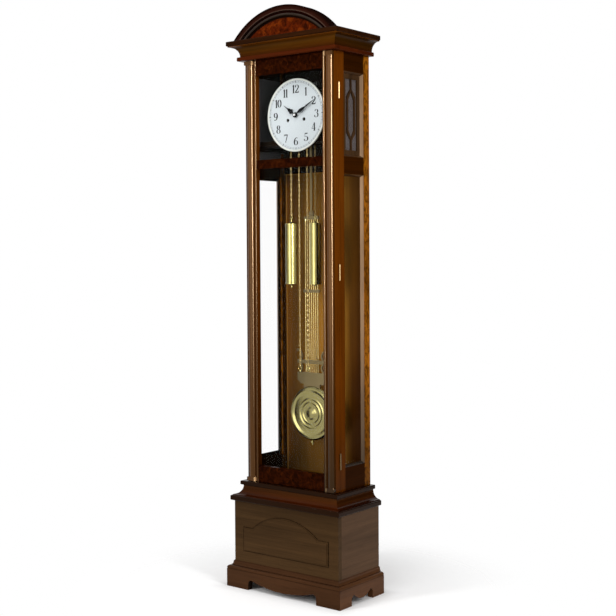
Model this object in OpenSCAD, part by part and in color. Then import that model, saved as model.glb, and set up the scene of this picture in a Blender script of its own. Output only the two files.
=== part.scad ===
// Longcase clock with a full-height glazed front door, glazed sides,
// an arched pediment, a chain-driven two-weight movement and a lyre pendulum.
// Origin: middle of the footprint, on the floor. Front faces -Y, +Z is up.

/* [Plinth] */
// How far the plinth stands out from the trunk, at the front and the sides
plinth_out = 55; // [50:1:70]
// Height of the plinth, cap moulding included
plinth_h = 90; // [80:1:110]
// Width of the small steps and grooves in the plinth's cap moulding
plinth_step = 2; // [1:0.5:3]
// Height of the cap moulding at the top of the plinth
plinth_cap_h = 26; // [20:1:34]
// Width of each foot along the front
foot_front_w = 98; // [80:1:120]
// Width of each foot along the side
foot_side_w = 66; // [50:1:80]
// Height of the apron's middle over the floor
apron_h = 15; // [8:1:24]
// How far the apron's ends are above its middle
apron_rise = 20; // [10:1:28]
// Radius of the bracket curve between foot and apron
bracket_r = 14; // [8:1:20]

/* [Base box] */
// How far the base box stands out from the trunk
base_out = 34; // [26:1:44]
// Height of the base box over the plinth
base_h = 211; // [180:1:260]
// Thickness of the boards of the base box
base_t = 18; // [12:1:24]
// How far the base boards reach down inside the plinth
base_drop = 38; // [20:1:46]
// Width of the border around the raised front panel
base_border = 42; // [34:1:54]
// How far the raised panel stands proud
base_field_t = 4; // [2:0.5:8]
// Width of the low step at the raised panel's edge
base_field_step = 4; // [2:0.5:8]
// Width of the groove around the raised panel
base_groove_w = 3; // [1.5:0.5:5]
// Depth of the groove around the raised panel
base_groove_d = 3; // [1:0.5:5]
// Width of the straight shoulder beside the arch of the raised panel
base_shoulder = 42; // [30:1:60]
// Height of the shoulder over the foot of the raised panel
base_shoulder_h = 80; // [60:1:110]
// Rise of the arch over the shoulder
base_arch_rise = 53; // [30:1:60]
// Height of the raised panel's foot over the base box's lower edge
base_field_z = 40; // [32:1:54]
// Thickness of the board that closes the base from below
floor_t = 12; // [8:1:18]

/* [Waist moulding] */
// How far the lower waist board stands out from the trunk
waist_lower_out = 45; // [38:1:54]
// Thickness of the lower waist board
waist_lower_h = 17; // [12:1:24]
// Height of the hollow moulding between the two waist boards
waist_cove_h = 36; // [28:1:48]
// How far the upper waist board stands out from the trunk
waist_upper_out = 20; // [14:1:28]
// Thickness of the upper waist board, the floor of the trunk
waist_upper_h = 14; // [10:1:20]
// How far the hollow mouldings reach in behind the trunk's face
cove_inner = 24; // [16:1:40]
// How far a hollow moulding's wide edge stays behind the board beside it
wide_set = 4; // [2:0.5:8]
// How far a hollow moulding's narrow edge stays behind the board beside it
narrow_set = 8; // [4:0.5:12]
// Height of the small flat at each edge of a hollow moulding
cove_lip = 3; // [1:0.5:5]
// Glue line left where mitred lengths meet
mitre_gap = 0.2; // [0.1:0.1:0.6]

/* [Trunk] */
// Width of the trunk
trunk_w = 382; // [350:2:420]
// Depth of the trunk, from the wall to the door's face
trunk_d = 197; // [185:1:230]
// Height of the trunk between waist and cornice
trunk_h = 1454; // [1400:2:1560]
// Thickness of the stiles and rails of the sides
side_t = 18; // [14:1:24]
// Width of the front stile of a side
front_stile_w = 30; // [24:1:40]
// Width of the back stile of a side
back_stile_w = 33; // [26:1:44]
// Height of the top rail of a side
top_rail_h = 60; // [44:1:80]
// Height of the cross rail of a side
cross_rail_h = 57; // [40:1:70]
// Height of the bottom rail of a side
bottom_rail_h = 78; // [60:1:100]
// Height of the hood zone, from the cross rail's top edge to the cornice
hood_h = 342; // [330:1:360]
// Thickness of the back boards
back_t = 10; // [6:1:14]

/* [Side windows] */
// Width of the glazing beads as seen from the side
bead_w = 8; // [6:1:12]
// Depth of the glazing beads
bead_d = 10; // [6:1:12]
// Thickness of every glass pane
glass_t = 3; // [2:0.5:4]
// How far a pane or panel reaches into its rebate
rebate_w = 6; // [4:0.5:9]
// Room left around each pane in its rebate
pane_gap = 0.5; // [0.2:0.1:1]
// Thickness of the fretwork board
fret_t = 5; // [3:0.5:7]
// Width of the border of the fretwork
fret_border = 15; // [10:1:20]
// Width of the bars of the fretwork
fret_bar = 7; // [5:0.5:10]
// Width of the long six-sided loop in the fretwork
fret_loop_w = 46; // [36:1:56]
// Height of the long six-sided loop in the fretwork
fret_loop_h = 178; // [150:1:200]
// Height of each pointed end of the loop
fret_point_h = 28; // [16:1:40]

/* [Cornice] */
// How far the lower cornice board stands out from the trunk
neck_out = 21; // [14:1:28]
// Thickness of the lower cornice board
neck_h = 14; // [10:1:20]
// Height of the hollow moulding of the cornice
cornice_cove_h = 37; // [28:1:48]
// How far the crown board stands out from the trunk
crown_out = 47.5; // [40:0.5:56]
// Thickness of the crown board
crown_h = 16; // [12:1:22]
// Rounding of the boards' front and side edges
edge_r = 3; // [1:0.5:5]

/* [Pediment] */
// Width of the arched pediment at its foot
pediment_w = 422; // [380:2:440]
// Height of the arched pediment
pediment_rise = 97; // [80:1:120]
// Depth of the arched pediment
pediment_d = 42; // [30:1:54]
// How far the pediment is set back from the crown board's front edge
pediment_set = 9; // [4:1:16]
// Width of the thin lip along the arch's outer edge
arch_lip_w = 4; // [2:0.5:8]
// How far the lip stands in front of the arch's face
arch_lip_t = 2.5; // [1:0.5:4]
// Width of the arch's flat face inside the lip
arch_face_w = 15; // [10:1:22]
// Width of the groove inside the arch's face
arch_groove_w = 8; // [5:1:12]
// Width of the bead inside that groove
arch_bead_w = 8; // [5:1:12]
// How far the bead's front lies behind the lip
arch_bead_set = 6; // [4:0.5:7]
// Width of the flat between the bead and the veneered panel
arch_quirk_w = 6; // [3:1:10]
// Thickness of the veneered panel in the arch
tympanum_t = 12; // [8:1:18]
// How far that panel lies behind the arch's front
tympanum_set = 14; // [8:1:22]

/* [Door] */
// Thickness of the door
door_t = 22; // [18:0.5:26]
// Gap between the door and the case at the top and the bottom
door_gap = 1.5; // [1:0.5:3]
// Gap between the door's back and the case, where the hinge leaves lie
seam = 1; // [0.6:0.1:2]
// Width of the door stiles
door_stile_w = 48; // [42:1:60]
// Height of the door's top rail
door_top_rail_h = 52; // [40:1:70]
// Height of the door's middle rail
door_mid_rail_h = 30; // [22:1:40]
// Height of the door's bottom rail
door_bottom_rail_h = 56; // [44:1:80]
// Radius of the half-round column on each door stile
column_r = 14; // [10:0.5:16]
// How far the columns stand proud of the door
column_out = 8; // [5:0.5:10]
// Distance of the column's axis from the stile's outer edge
column_in = 19; // [16:0.5:24]
// Radius of the slim bead beside each column
column_bead_r = 3.5; // [2:0.5:5]
// Height of the cap and of the base block of a column
column_cap_h = 13; // [8:1:20]

/* [Door hinges] */
// Height of each hinge
hinge_h = 52; // [40:1:70]
// Height of the lower hinge's middle over the trunk floor
hinge_low = 102; // [80:1:140]
// Distance of the upper hinge's middle below the neck board
hinge_top = 128; // [100:1:160]
// Height of the middle hinge over the middle between the other two
hinge_mid = 15; // [-40:1:40]
// Outer radius of the hinge knuckles
knuckle_r = 3; // [2.5:0.5:5]
// Radius of the hinge pins
hinge_pin_r = 1.4; // [1:0.1:1.5]
// Room between pin and knuckle, on the radius
hinge_fit = 0.06; // [0.03:0.01:0.1]
// Thickness of the hinge leaves
leaf_t = 1.5; // [1:0.1:2]
// Width of the hinge leaves
leaf_w = 22; // [16:1:26]

/* [Dial and hands] */
// Radius of the round dial
dial_r = 120; // [110:1:126]
// Width of the rim around the dial
dial_rim = 3; // [2:0.5:6]
// Thickness of the dial plate
dial_t = 2; // [1.5:0.5:3]
// Distance of the dial's centre below the cornice
dial_drop = 194; // [180:1:200]
// Distance of the dial's face behind the door's face
dial_set = 38.5; // [36:0.5:44]
// Radius of the two round holes in the dial
dial_hole_r = 6; // [4:0.5:7]
// Length of the minute hand from the centre
minute_hand_l = 95; // [80:1:105]
// Length of the hour hand from the centre
hour_hand_l = 60; // [50:1:70]
// Greatest width of the minute hand's blade
minute_blade_w = 12; // [8:1:16]
// Greatest width of the hour hand's spade
hour_spade_w = 19; // [12:1:22]
// Minutes past the hour that the hands show at rest
show_minute = 10.25; // [0:0.25:59.75]
// Hour that the hands show at rest
show_hour = 10; // [0:1:11]
// Thickness of the hands
hand_t = 1; // [0.6:0.1:1.6]

/* [Movement] */
// Width of the movement plates
plate_w = 152; // [148:1:170]
// Height of the movement plates
plate_h = 168; // [164:1:190]
// Thickness of the movement plates
plate_t = 3; // [2:0.5:4]
// Space between the movement plates
plate_space = 46; // [44:1:56]
// Distance from the dial's face to the front plate's face
dial_gap = 19; // [18:0.5:24]
// Distance from the dial's centre down to the plates' lower edge
plate_drop = 80; // [74:1:90]
// Radius of the pillars between the plates
pillar_r = 5; // [4:0.5:6]
// Distance of each chain arbor beside the centre
chain_arbor_x = 35; // [34:0.5:37]
// Distance of each chain arbor below the centre
chain_arbor_drop = 16; // [14:0.5:20]
// Radius at which the chain runs over its wheel
chain_wheel_r = 17.4; // [15:0.2:17.6]
// Radius of the arbors
arbor_r = 2; // [1.5:0.1:2.4]
// Room between each arbor and its hole, on the radius
arbor_fit = 0.05; // [0.02:0.01:0.1]
// Thickness of the wheels of the train
wheel_t = 2.5; // [1.5:0.1:3]
// Radius of the bell over the movement
bell_r = 40; // [30:1:42]
// Height of the bell
bell_h = 22; // [14:1:26]
// Radius of the hammer's head
hammer_r = 6; // [4:0.5:7]
// Length of the crutch from the anchor's arbor down to its fork
crutch_l = 84; // [60:1:100]
// Thickness of the seat board that carries the movement
seat_t = 18; // [12:1:24]
// Depth of the seat board
seat_d = 58; // [52:1:62]
// Section of the cleats under the seat board
cleat_w = 16; // [12:1:22]

/* [Drive] */
// Radius of the chain's plain outline
chain_r = 1.8; // [1.2:0.1:2.4]
// Radius of each weight
weight_r = 21; // [17:0.5:23]
// Height of each weight's cylinder
weight_h = 209; // [160:1:230]
// Height of each weight's lower end over the trunk floor at rest
weight_z = 686; // [600:1:720]
// Height of each free chain end over the trunk floor at rest
chain_end_z = 397; // [330:1:430]
// Radius of the ring at each free chain end
chain_ring_r = 6; // [4:0.5:8]

/* [Pendulum] */
// Distance of the pendulum's plane in front of the wall
pendulum_y = 76; // [72:1:80]
// Height of the bob's centre over the trunk floor
bob_z = 237; // [200:1:260]
// Radius of the bob
bob_r = 94; // [70:1:96]
// Thickness of the bob
bob_t = 26; // [18:1:28]
// Radius of each pendulum rod
rod_r = 1.6; // [1.4:0.1:2.6]
// Distance between neighbouring rods
rod_pitch = 8.8; // [7:0.2:10]
// Number of rods in the gridiron
rod_count = 7; // [5:2:9]
// Height of the rods' upper end over the bob's centre
rod_top = 682; // [600:1:720]
// Height of the middle bridge over the bob's centre
bridge_mid = 419; // [360:1:460]
// Thickness of the lyre and of the bridges
lyre_t = 6; // [4:0.5:7]
// Width of the lyre
lyre_w = 126; // [110:2:136]
// Width of the lyre's foot, which stands on the bob
lyre_foot_w = 70; // [56:2:80]
// Height of the top edge of the lyre's plate over the bob's centre
lyre_top = 141; // [132:1:150]
// Height of the lyre's plate over its foot
lyre_plate_h = 40; // [34:1:42]
// Height of the middle of the lyre's cross bar over the bob's centre
lyre_bar_z = 178; // [172:1:184]
// Thickness of the lyre's cross bar
lyre_bar_h = 12; // [8:1:14]
// Radius of the lyre's scrolls, at the middle of their band
scroll_r = 20; // [16:1:23]
// Width of the band of the scrolls
scroll_band = 6; // [4:0.5:8]
// Height of the two bridges across the rods
bridge_h = 10; // [7:1:14]
// Width of the flat leader above the rods
leader_w = 8; // [6:0.5:10]
// Length of the suspension spring
spring_l = 16; // [12:1:22]

/* [Hidden] */

// Clearances and small sizes
rod_fit = 0.05;
clear = 0.3;
leaf_gap = 0.3;
leaf_bed = 0.1;
cloth_t = 1.5;
bead_edge = 0.8;
pin_cap_t = 1.2;
column_cap_w = 36;
column_cap_out = 1;
big = 3000;

// Levels, from the floor up
base_z = plinth_h;
waist_z = base_z + base_h;
waist_cove_z = waist_z + waist_lower_h;
waist_upper_z = waist_cove_z + waist_cove_h;
trunk_z = waist_upper_z + waist_upper_h;
neck_z = trunk_z + trunk_h;
cornice_cove_z = neck_z + neck_h;
crown_z = cornice_cove_z + cornice_cove_h;
pediment_z = crown_z + crown_h;
rail_z = neck_z - hood_h;
dial_z = neck_z - dial_drop;

// Planes, from the wall to the front
back_y = (trunk_d + plinth_out) / 2;
front_y = back_y - trunk_d;
door_back_y = front_y + door_t;
case_y = door_back_y + seam;
half_w = trunk_w / 2;
inner_x = half_w - side_t;
window_y0 = case_y + front_stile_w;
window_y1 = back_y - back_stile_w;
upper_window_z0 = rail_z;
upper_window_z1 = neck_z - top_rail_h;
lower_window_z0 = trunk_z + bottom_rail_h;
lower_window_z1 = rail_z - cross_rail_h;
pane_x = half_w - bead_d - glass_t;

// Places in the door
door_z0 = trunk_z + door_gap;
door_z1 = neck_z - door_gap;
door_inner_x = half_w - door_stile_w;
door_upper_z1 = door_z1 - door_top_rail_h;
door_lower_z1 = rail_z - door_mid_rail_h;
door_lower_z0 = door_z0 + door_bottom_rail_h;
pane_y0 = door_back_y - 2 * glass_t;
arch_band = arch_lip_w + arch_face_w + arch_groove_w + arch_bead_w + arch_quirk_w;
hinge_x = half_w + knuckle_r + clear;
hinge_y = door_back_y + seam / 2;
hinge_z0 = trunk_z + hinge_low;
hinge_z1 = neck_z - hinge_top;

// Planes of the movement, counted from the dial's face
dial_y = front_y + dial_set;
plate_y0 = dial_y + dial_gap;
space_y0 = plate_y0 + plate_t;
space_y1 = space_y0 + plate_space;
plate_y1 = space_y1 + plate_t;
chain_y = space_y0 + plate_space / 3;
great_y = chain_y + 8;
centre_wheel_y = great_y + 7;
third_wheel_y = centre_wheel_y + 6.5;
escape_y = space_y0 + 6;
bell_y = (space_y0 + space_y1) / 2;
minute_wheel_y = plate_y0 - 6;
swing_y = back_y - pendulum_y;
seat_y0 = plate_y0 - 2;
seat_z = dial_z - plate_drop - seat_t;
chain_hole_r = 6.4;
cleat_set = 4;

// The going train: teeth, modules and places beside the centre arbor
great_teeth = 80;
pinion_teeth = 8;
centre_teeth = 64;
third_teeth = 60;
train_module = 0.9;
great_distance = sqrt(pow(chain_arbor_x, 2) + pow(chain_arbor_drop, 2));
great_module = 2 * great_distance / (great_teeth + pinion_teeth);
third_distance = train_module * (centre_teeth + pinion_teeth) / 2;
escape_distance = train_module * (third_teeth + pinion_teeth) / 2;
third_x = 24;
third_dz = sqrt(pow(third_distance, 2) - pow(third_x, 2));
escape_dz = third_dz + sqrt(pow(escape_distance, 2) - pow(third_x, 2));
escape_r = 17;
escape_teeth = 30;
escape_tooth = 3.5;
anchor_dz = escape_dz + 25;
anchor_gap = 1.4;
anchor_band = 4;
anchor_span = 45;
anchor_hub_r = 5;
swing_z = dial_z + anchor_dz;
strike_wheel_teeth = 66;
tooth_high = 0.85;
tooth_low = 1.2;
crossing_place = 0.53;
crossing_size = 0.24;
collar_r = arbor_r + 0.6;
flange_t = 2.2;
pinion_over = 1.5;
pinion_l = wheel_t + 2 * pinion_over;
bond = 0.1;

// The plates, the dial's feet, and the bell and hammer over them
plates_z0 = dial_z - plate_drop;
plates_z1 = plates_z0 + plate_h;
pillar_in = 8;
dial_rim_out = 1.5;
dial_foot_r = 2.5;
dial_foot_x = 60;
dial_foot_low = -45;
dial_foot_high = 70;
bell_gap = 12;
bell_wall = 2;
bell_post_r = 3;
hammer_l = 17;
hammer_x = bell_r + hammer_l / 2 + 4.5;
hammer_dz = plate_h - plate_drop - 30;
crutch_t = 2;
fork_h = 6;
cock_w = 60;
cock_d = 10;
cock_h = 10;

// The motion work between dial and front plate
cannon_teeth = 12;
minute_wheel_teeth = 36;
minute_pinion_teeth = 10;
hour_wheel_teeth = 40;
motion_distance = 24;
cannon_module = 2 * motion_distance / (cannon_teeth + minute_wheel_teeth);
hour_module = 2 * motion_distance / (minute_pinion_teeth + hour_wheel_teeth);
motion_depth = 12.5;
stud_r = 1.6;
cannon_r = 3.2;
pipe_r = 5;
hand_nut_r = 4;
hand_boss = 4;
hand_nut_t = 2.5;
hand_neck = 1.6;
minute_hand_y = dial_y - 8;
hour_hand_y = dial_y - 4.5;

// Heights of the drive and of the pendulum at rest
arbor_z = dial_z - chain_arbor_drop;
weight_low_z = trunk_z + weight_z;
chain_ring_z = trunk_z + chain_end_z;
wire_r = 1.2;
weight_cap_h = 6;
weight_cap_out = 1;
weight_eye_r = 4.5;
weight_eye_up = weight_h + 20;
finial_r = 3;
finial_h = 12;
ring_ball_r = 3.2;
weight_chain_z = weight_low_z + weight_eye_up + weight_eye_r + wire_r;
free_chain_z = chain_ring_z + chain_ring_r + wire_r;
bob_mid_z = trunk_z + bob_z;
rods_z0 = bob_mid_z + lyre_top - bridge_h;
rods_z1 = bob_mid_z + rod_top;
rods_l = rods_z1 - rods_z0 - 1;
bridge_z = bob_mid_z + bridge_mid;
bridge_over = 3;
hub_r = 11;
hub_z = rods_z1 + hub_r - 2;
leader_t = 4;
spring_t = 0.4;
bob_step = 3;
bob_edge = 3;
stem_r = 2;
stem_in = 8;
stem_out = 17;
nut_r = 6;
nut_h = 5;

walnut = [0.33, 0.16, 0.07];
burl = [0.45, 0.19, 0.07];
brass = [0.80, 0.70, 0.42];
dark_steel = [0.16, 0.16, 0.17];
steel = [0.55, 0.56, 0.58];
clear_glass = [0.85, 0.92, 0.92, 0.3];
cloth = [0.45, 0.40, 0.40];

// A box between two corners
module block(x0, x1, y0, y1, z0, z1) {
  translate([x0, y0, z0]) cube([x1 - x0, y1 - y0, z1 - z0]);
}

// The same piece on both sides of the clock
module both_sides() {
  children();
  mirror([1, 0, 0]) children();
}

// A cylinder along Y, from y0 to y1
module rod_y(x, z, r, y0, y1) {
  translate([x, y0, z]) rotate([-90, 0, 0]) cylinder(r = r, h = y1 - y0, $fn = 48);
}

// A flat outline drawn in X and Z, standing from y0 to y1
module plate_xz(y0, y1) {
  translate([0, y1, 0]) rotate([90, 0, 0]) linear_extrude(y1 - y0) children();
}

// The half plane outside the mitre line of the front right corner
module mitre_side(turn) {
  translate([half_w, front_y, 0]) rotate([0, 0, 45]) translate([turn > 0 ? 0 : -big, -big / 2, -1])
    cube([big, big, big]);
}

// A length of moulding along the front; its outline has the distance out
// from the trunk's face as x and the height as y
module front_moulding(reach) {
  difference() {
    translate([-half_w - reach, front_y, 0]) rotate([90, 0, 90]) linear_extrude(trunk_w + 2 * reach)
      mirror([1, 0]) children();
    both_sides() translate([-mitre_gap / 2, -mitre_gap / 2, 0]) mitre_side(1);
  }
}

// The matching length of moulding along the right side
module side_moulding(reach) {
  difference() {
    translate([half_w, back_y, 0]) rotate([90, 0, 0]) linear_extrude(trunk_d + reach) children();
    translate([mitre_gap / 2, mitre_gap / 2, 0]) mitre_side(-1);
  }
}

// Outline of a hollow moulding between x0 at height z0 and x1 at height z1
module cove_outline(x0, z0, x1, z1) {
  near = min(x0, x1);
  deep = abs(x1 - x0) - cove_lip;
  low = z0 + cove_lip;
  high = z1 - cove_lip;
  flares = x1 > x0;
  polygon(concat([[-cove_inner, z1], [-cove_inner, z0], [x0, z0]],
    flares ? [for (a = [0 : 9 : 90]) [near + deep * (1 - cos(a)), low + (high - low) * sin(a)]]
    : [for (a = [90 : -9 : 0]) [near + deep * (1 - cos(a)), high - (high - low) * sin(a)]],
    flares ? [[x1, high], [x1, z1]] : [[x1, z1]]));
}

// A board with a rounded front edge and rounded side edges
module rounded_board(out, z, h) {
  w = trunk_w + 2 * out;
  d = trunk_d + out;
  y0 = back_y - d;
  intersection() {
    translate([-w / 2, y0, z]) rotate([90, 0, 90]) linear_extrude(w) union() {
      translate([edge_r, 0]) square([d - edge_r, h]);
      translate([0, edge_r]) square([d, h - 2 * edge_r]);
      for (v = [edge_r, h - edge_r]) translate([edge_r, v]) circle(r = edge_r, $fn = 32);
    }
    translate([0, back_y, z]) rotate([90, 0, 0]) linear_extrude(d) union() {
      translate([edge_r - w / 2, 0]) square([w - 2 * edge_r, h]);
      translate([-w / 2, edge_r]) square([w, h - 2 * edge_r]);
      for (u = [edge_r - w / 2, w / 2 - edge_r], v = [edge_r, h - edge_r])
        translate([u, v]) circle(r = edge_r, $fn = 32);
    }
  }
}

// Outline of the plinth board: a groove, a round edge, a second groove and a hollow above it
module plinth_outline() {
  r = plinth_cap_h * 0.36;
  low = plinth_h - plinth_cap_h;
  step_x = plinth_out - r - plinth_step;
  step_z = low + r + plinth_step;
  top_z = plinth_h - plinth_step;
  top_x = base_out + plinth_step;
  polygon(concat([[base_out, 0], [plinth_out, 0], [plinth_out, low - plinth_step],
      [plinth_out - plinth_step, low - plinth_step], [plinth_out - plinth_step, low]],
    [for (a = [0 : 15 : 90]) [plinth_out - r * (1 - cos(a)), low + r * sin(a)]],
    [[step_x - plinth_step, low + r], [step_x - plinth_step, step_z]],
    [for (a = [0 : 15 : 90]) [top_x + plinth_step + (step_x - top_x - plinth_step) * (1 - sin(a)),
      step_z + (top_z - step_z) * (1 - cos(a))]],
    [[top_x, top_z], [top_x, plinth_h], [base_out, plinth_h]]));
}

// The cut below the apron between two feet, drawn for a board of this width
module bracket_cut(w, foot) {
  half = w / 2 - foot;
  flat = half - bracket_r;
  steps = 12;
  high = apron_h + apron_rise;
  polygon(concat(
    [[-half, -1], [half, -1], [half, high - bracket_r]],
    [for (a = [15 : 15 : 90]) [flat + bracket_r * cos(a), high - bracket_r + bracket_r * sin(a)]],
    [for (i = [0 : steps]) let (u = 1 - 2 * i / steps) [flat * u, apron_h + apron_rise * u * u]],
    [for (a = [90 : 15 : 165]) [bracket_r * cos(a) - flat, high - bracket_r + bracket_r * sin(a)]],
    [[-half, high - bracket_r]]));
}

module plinth_front() {
  color(walnut) difference() {
    front_moulding(plinth_out) plinth_outline();
    translate([0, front_y + 1, 0]) rotate([90, 0, 0]) linear_extrude(plinth_out + 2)
      bracket_cut(trunk_w + 2 * plinth_out, foot_front_w);
  }
}

module plinth_sides() {
  depth = trunk_d + plinth_out;
  color(walnut) both_sides() difference() {
    side_moulding(plinth_out) plinth_outline();
    translate([half_w - 1, 0, 0]) rotate([90, 0, 90]) linear_extrude(plinth_out + 2)
      bracket_cut(depth, foot_side_w);
  }
}

// Outline of the raised panel, made larger all round: square shoulders beside a round arch
module base_field_outline(grow) {
  w = half_w + base_out - base_border;
  arch_w = w - base_shoulder;
  z0 = base_z + base_field_z;
  r = (pow(arch_w, 2) + pow(base_arch_rise, 2)) / (2 * base_arch_rise);
  square_z = z0 + base_shoulder_h;
  translate([-w - grow, z0 - grow]) square([2 * (w + grow), base_shoulder_h + 2 * grow]);
  intersection() {
    translate([0, square_z + base_arch_rise - r]) circle(r = r + grow, $fn = 120);
    translate([-arch_w - grow, z0 + base_shoulder_h / 2])
      square([2 * (arch_w + grow), base_shoulder_h / 2 + base_arch_rise + grow + 1]);
  }
}

module base_front_panel() {
  w = half_w + base_out;
  y = front_y - base_out;
  color(walnut) {
    difference() {
      block(-w, w, y, y + base_t, base_z - base_drop, waist_z);
      plate_xz(y - 1, y + base_groove_d) base_field_outline(base_groove_w);
    }
    plate_xz(y - base_field_t / 2, y + base_groove_d + 1) base_field_outline(0);
    plate_xz(y - base_field_t, y + 1) base_field_outline(-base_field_step);
  }
}

module base_side_panels() {
  w = half_w + base_out;
  y = front_y - base_out + base_t;
  color(walnut) both_sides() block(w - base_t, w, y, back_y, base_z - base_drop, waist_z);
}

module base_floor_board() {
  w = half_w + base_out - base_t;
  y = front_y - base_out + base_t;
  z = base_z - base_drop;
  color(walnut) block(-w, w, y, back_y - back_t, z, z + floor_t);
}

module back_boards() {
  base_w = half_w + base_out - base_t;
  cove_w = half_w - cove_inner;
  color(walnut) {
    for (b = [[base_w, base_z - base_drop, waist_z], [inner_x, trunk_z, neck_z],
      [cove_w, waist_cove_z, waist_upper_z], [cove_w, cornice_cove_z, crown_z]])
      block(-b[0], b[0], back_y - back_t, back_y, b[1], b[2]);
  }
}

module waist_lower_board() {
  color(walnut) rounded_board(waist_lower_out, waist_z, waist_lower_h);
}

module waist_cove_moulding() {
  reach = max(waist_lower_out, waist_upper_out);
  color(walnut) {
    front_moulding(reach)
      cove_outline(waist_lower_out - wide_set, waist_cove_z, waist_upper_out - narrow_set, waist_upper_z);
    both_sides() side_moulding(reach)
      cove_outline(waist_lower_out - wide_set, waist_cove_z, waist_upper_out - narrow_set, waist_upper_z);
  }
}

module trunk_floor_board() {
  color(walnut) rounded_board(waist_upper_out, waist_upper_z, waist_upper_h);
}

// Room for a flat pane that reaches into its frame, open to the inside
module side_pane_room(z0, z1) {
  r = rebate_w + pane_gap;
  block(inner_x - 1, pane_x + glass_t + 0.1, window_y0 - r, window_y1 + r, z0 - r, z1 + r);
}

module side_rooms() {
  side_pane_room(lower_window_z0, lower_window_z1);
  side_pane_room(upper_window_z0, upper_window_z1);
}

module hinge_places() {
  for (z = [hinge_z0, (hinge_z0 + hinge_z1) / 2 + hinge_mid, hinge_z1]) translate([hinge_x, hinge_y, z]) children();
}

// Room for one leaf of a hinge, on the case's side or the door's
module leaf_room(side) {
  deep = leaf_gap / 2 + leaf_t + leaf_bed;
  z = hinge_h / 2 + leaf_bed;
  block(-leaf_w - leaf_bed, 0, side > 0 ? -seam : -deep, side > 0 ? deep : seam, -z, z);
}

module trunk_stiles() {
  color(walnut) difference() {
    both_sides() {
      block(inner_x, half_w, case_y, window_y0, trunk_z, neck_z);
      block(inner_x, half_w, window_y1, back_y, trunk_z, neck_z);
    }
    both_sides() side_rooms();
    hinge_places() leaf_room(1);
  }
}

module side_rails() {
  color(walnut) difference() {
    both_sides() {
      block(inner_x, half_w, window_y0, window_y1, upper_window_z1, neck_z);
      block(inner_x, half_w, window_y0, window_y1, lower_window_z1, upper_window_z0);
      block(inner_x, half_w, window_y0, window_y1, trunk_z, lower_window_z0);
    }
    both_sides() side_rooms();
  }
}

// One mitred glazing bead, standing along Z between two heights
module bead_length(long) {
  difference() {
    translate([0, 0, -long / 2]) linear_extrude(long)
      polygon([[0, 0], [0, bead_w], [bead_d, bead_edge], [bead_d, 0]]);
    for (s = [-1, 1]) translate([0, 0, s * long / 2]) rotate([s * 45, 0, 0])
      translate([-1, -big / 2, s > 0 ? -mitre_gap / 2 : -big + mitre_gap / 2]) cube([big, big, big]);
  }
}

module bead_ring(z0, z1) {
  ym = (window_y0 + window_y1) / 2;
  zm = (z0 + z1) / 2;
  wide = window_y1 - window_y0;
  high = z1 - z0;
  translate([pane_x + glass_t, ym, zm]) {
    translate([0, -wide / 2, 0]) bead_length(high);
    mirror([0, 1, 0]) translate([0, -wide / 2, 0]) bead_length(high);
    rotate([90, 0, 0]) translate([0, -high / 2, 0]) bead_length(wide);
    mirror([0, 0, 1]) rotate([90, 0, 0]) translate([0, -high / 2, 0]) bead_length(wide);
  }
}

module side_window_beads() {
  color(walnut) both_sides() {
    bead_ring(lower_window_z0, lower_window_z1);
    bead_ring(upper_window_z0, upper_window_z1);
  }
}

// Outline of the long six-sided loop
module fret_loop(w, h, point) {
  polygon([[0, h / 2], [w / 2, h / 2 - point], [w / 2, point - h / 2],
    [0, -h / 2], [-w / 2, point - h / 2], [-w / 2, h / 2 - point]]);
}

// The fretwork board: a border, the loop, and two bars that hold it
module fret_outline() {
  wide = window_y1 - window_y0;
  high = upper_window_z1 - upper_window_z0;
  inset = 2 * (bead_w + fret_border);
  difference() {
    square([wide + 2 * rebate_w, high + 2 * rebate_w], center = true);
    square([wide - inset, high - inset], center = true);
  }
  difference() {
    fret_loop(fret_loop_w, fret_loop_h, fret_point_h);
    fret_loop(fret_loop_w - 2 * fret_bar, fret_loop_h - 3 * fret_bar, fret_point_h);
  }
  for (s = [-1, 1]) translate([-fret_bar / 2, s > 0 ? fret_loop_h / 2 - fret_bar : -high / 2])
    square([fret_bar, (high - fret_loop_h) / 2 + fret_bar]);
}

module side_frets() {
  ym = (window_y0 + window_y1) / 2;
  zm = (upper_window_z0 + upper_window_z1) / 2;
  color(walnut) both_sides() translate([pane_x + glass_t - fret_t, ym, zm]) rotate([90, 0, 90])
    linear_extrude(fret_t) fret_outline();
}

module sound_cloth_panels() {
  x1 = pane_x + glass_t - fret_t;
  color(cloth) both_sides() block(x1 - cloth_t, x1, window_y0 - rebate_w, window_y1 + rebate_w,
    upper_window_z0 - rebate_w, upper_window_z1 + rebate_w);
}

module side_window_glasses() {
  color(clear_glass) both_sides() block(pane_x, pane_x + glass_t,
    window_y0 - rebate_w, window_y1 + rebate_w, lower_window_z0 - rebate_w, lower_window_z1 + rebate_w);
}

module neck_board() {
  color(walnut) rounded_board(neck_out, neck_z, neck_h);
}

module cornice_cove_moulding() {
  reach = max(neck_out, crown_out);
  color(walnut) {
    front_moulding(reach) cove_outline(neck_out - narrow_set, cornice_cove_z, crown_out - wide_set, crown_z);
    both_sides() side_moulding(reach)
      cove_outline(neck_out - narrow_set, cornice_cove_z, crown_out - wide_set, crown_z);
  }
}

module crown_board() {
  color(walnut) rounded_board(crown_out, crown_z, crown_h);
}

// The round-topped outline of the pediment, drawn in by a distance
module arch_outline(inset) {
  r = (pow(pediment_w / 2, 2) + pow(pediment_rise, 2)) / (2 * pediment_rise);
  intersection() {
    translate([0, pediment_z + pediment_rise - r]) circle(r = r - inset, $fn = 180);
    translate([-pediment_w, pediment_z]) square([2 * pediment_w, pediment_rise]);
  }
}

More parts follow.
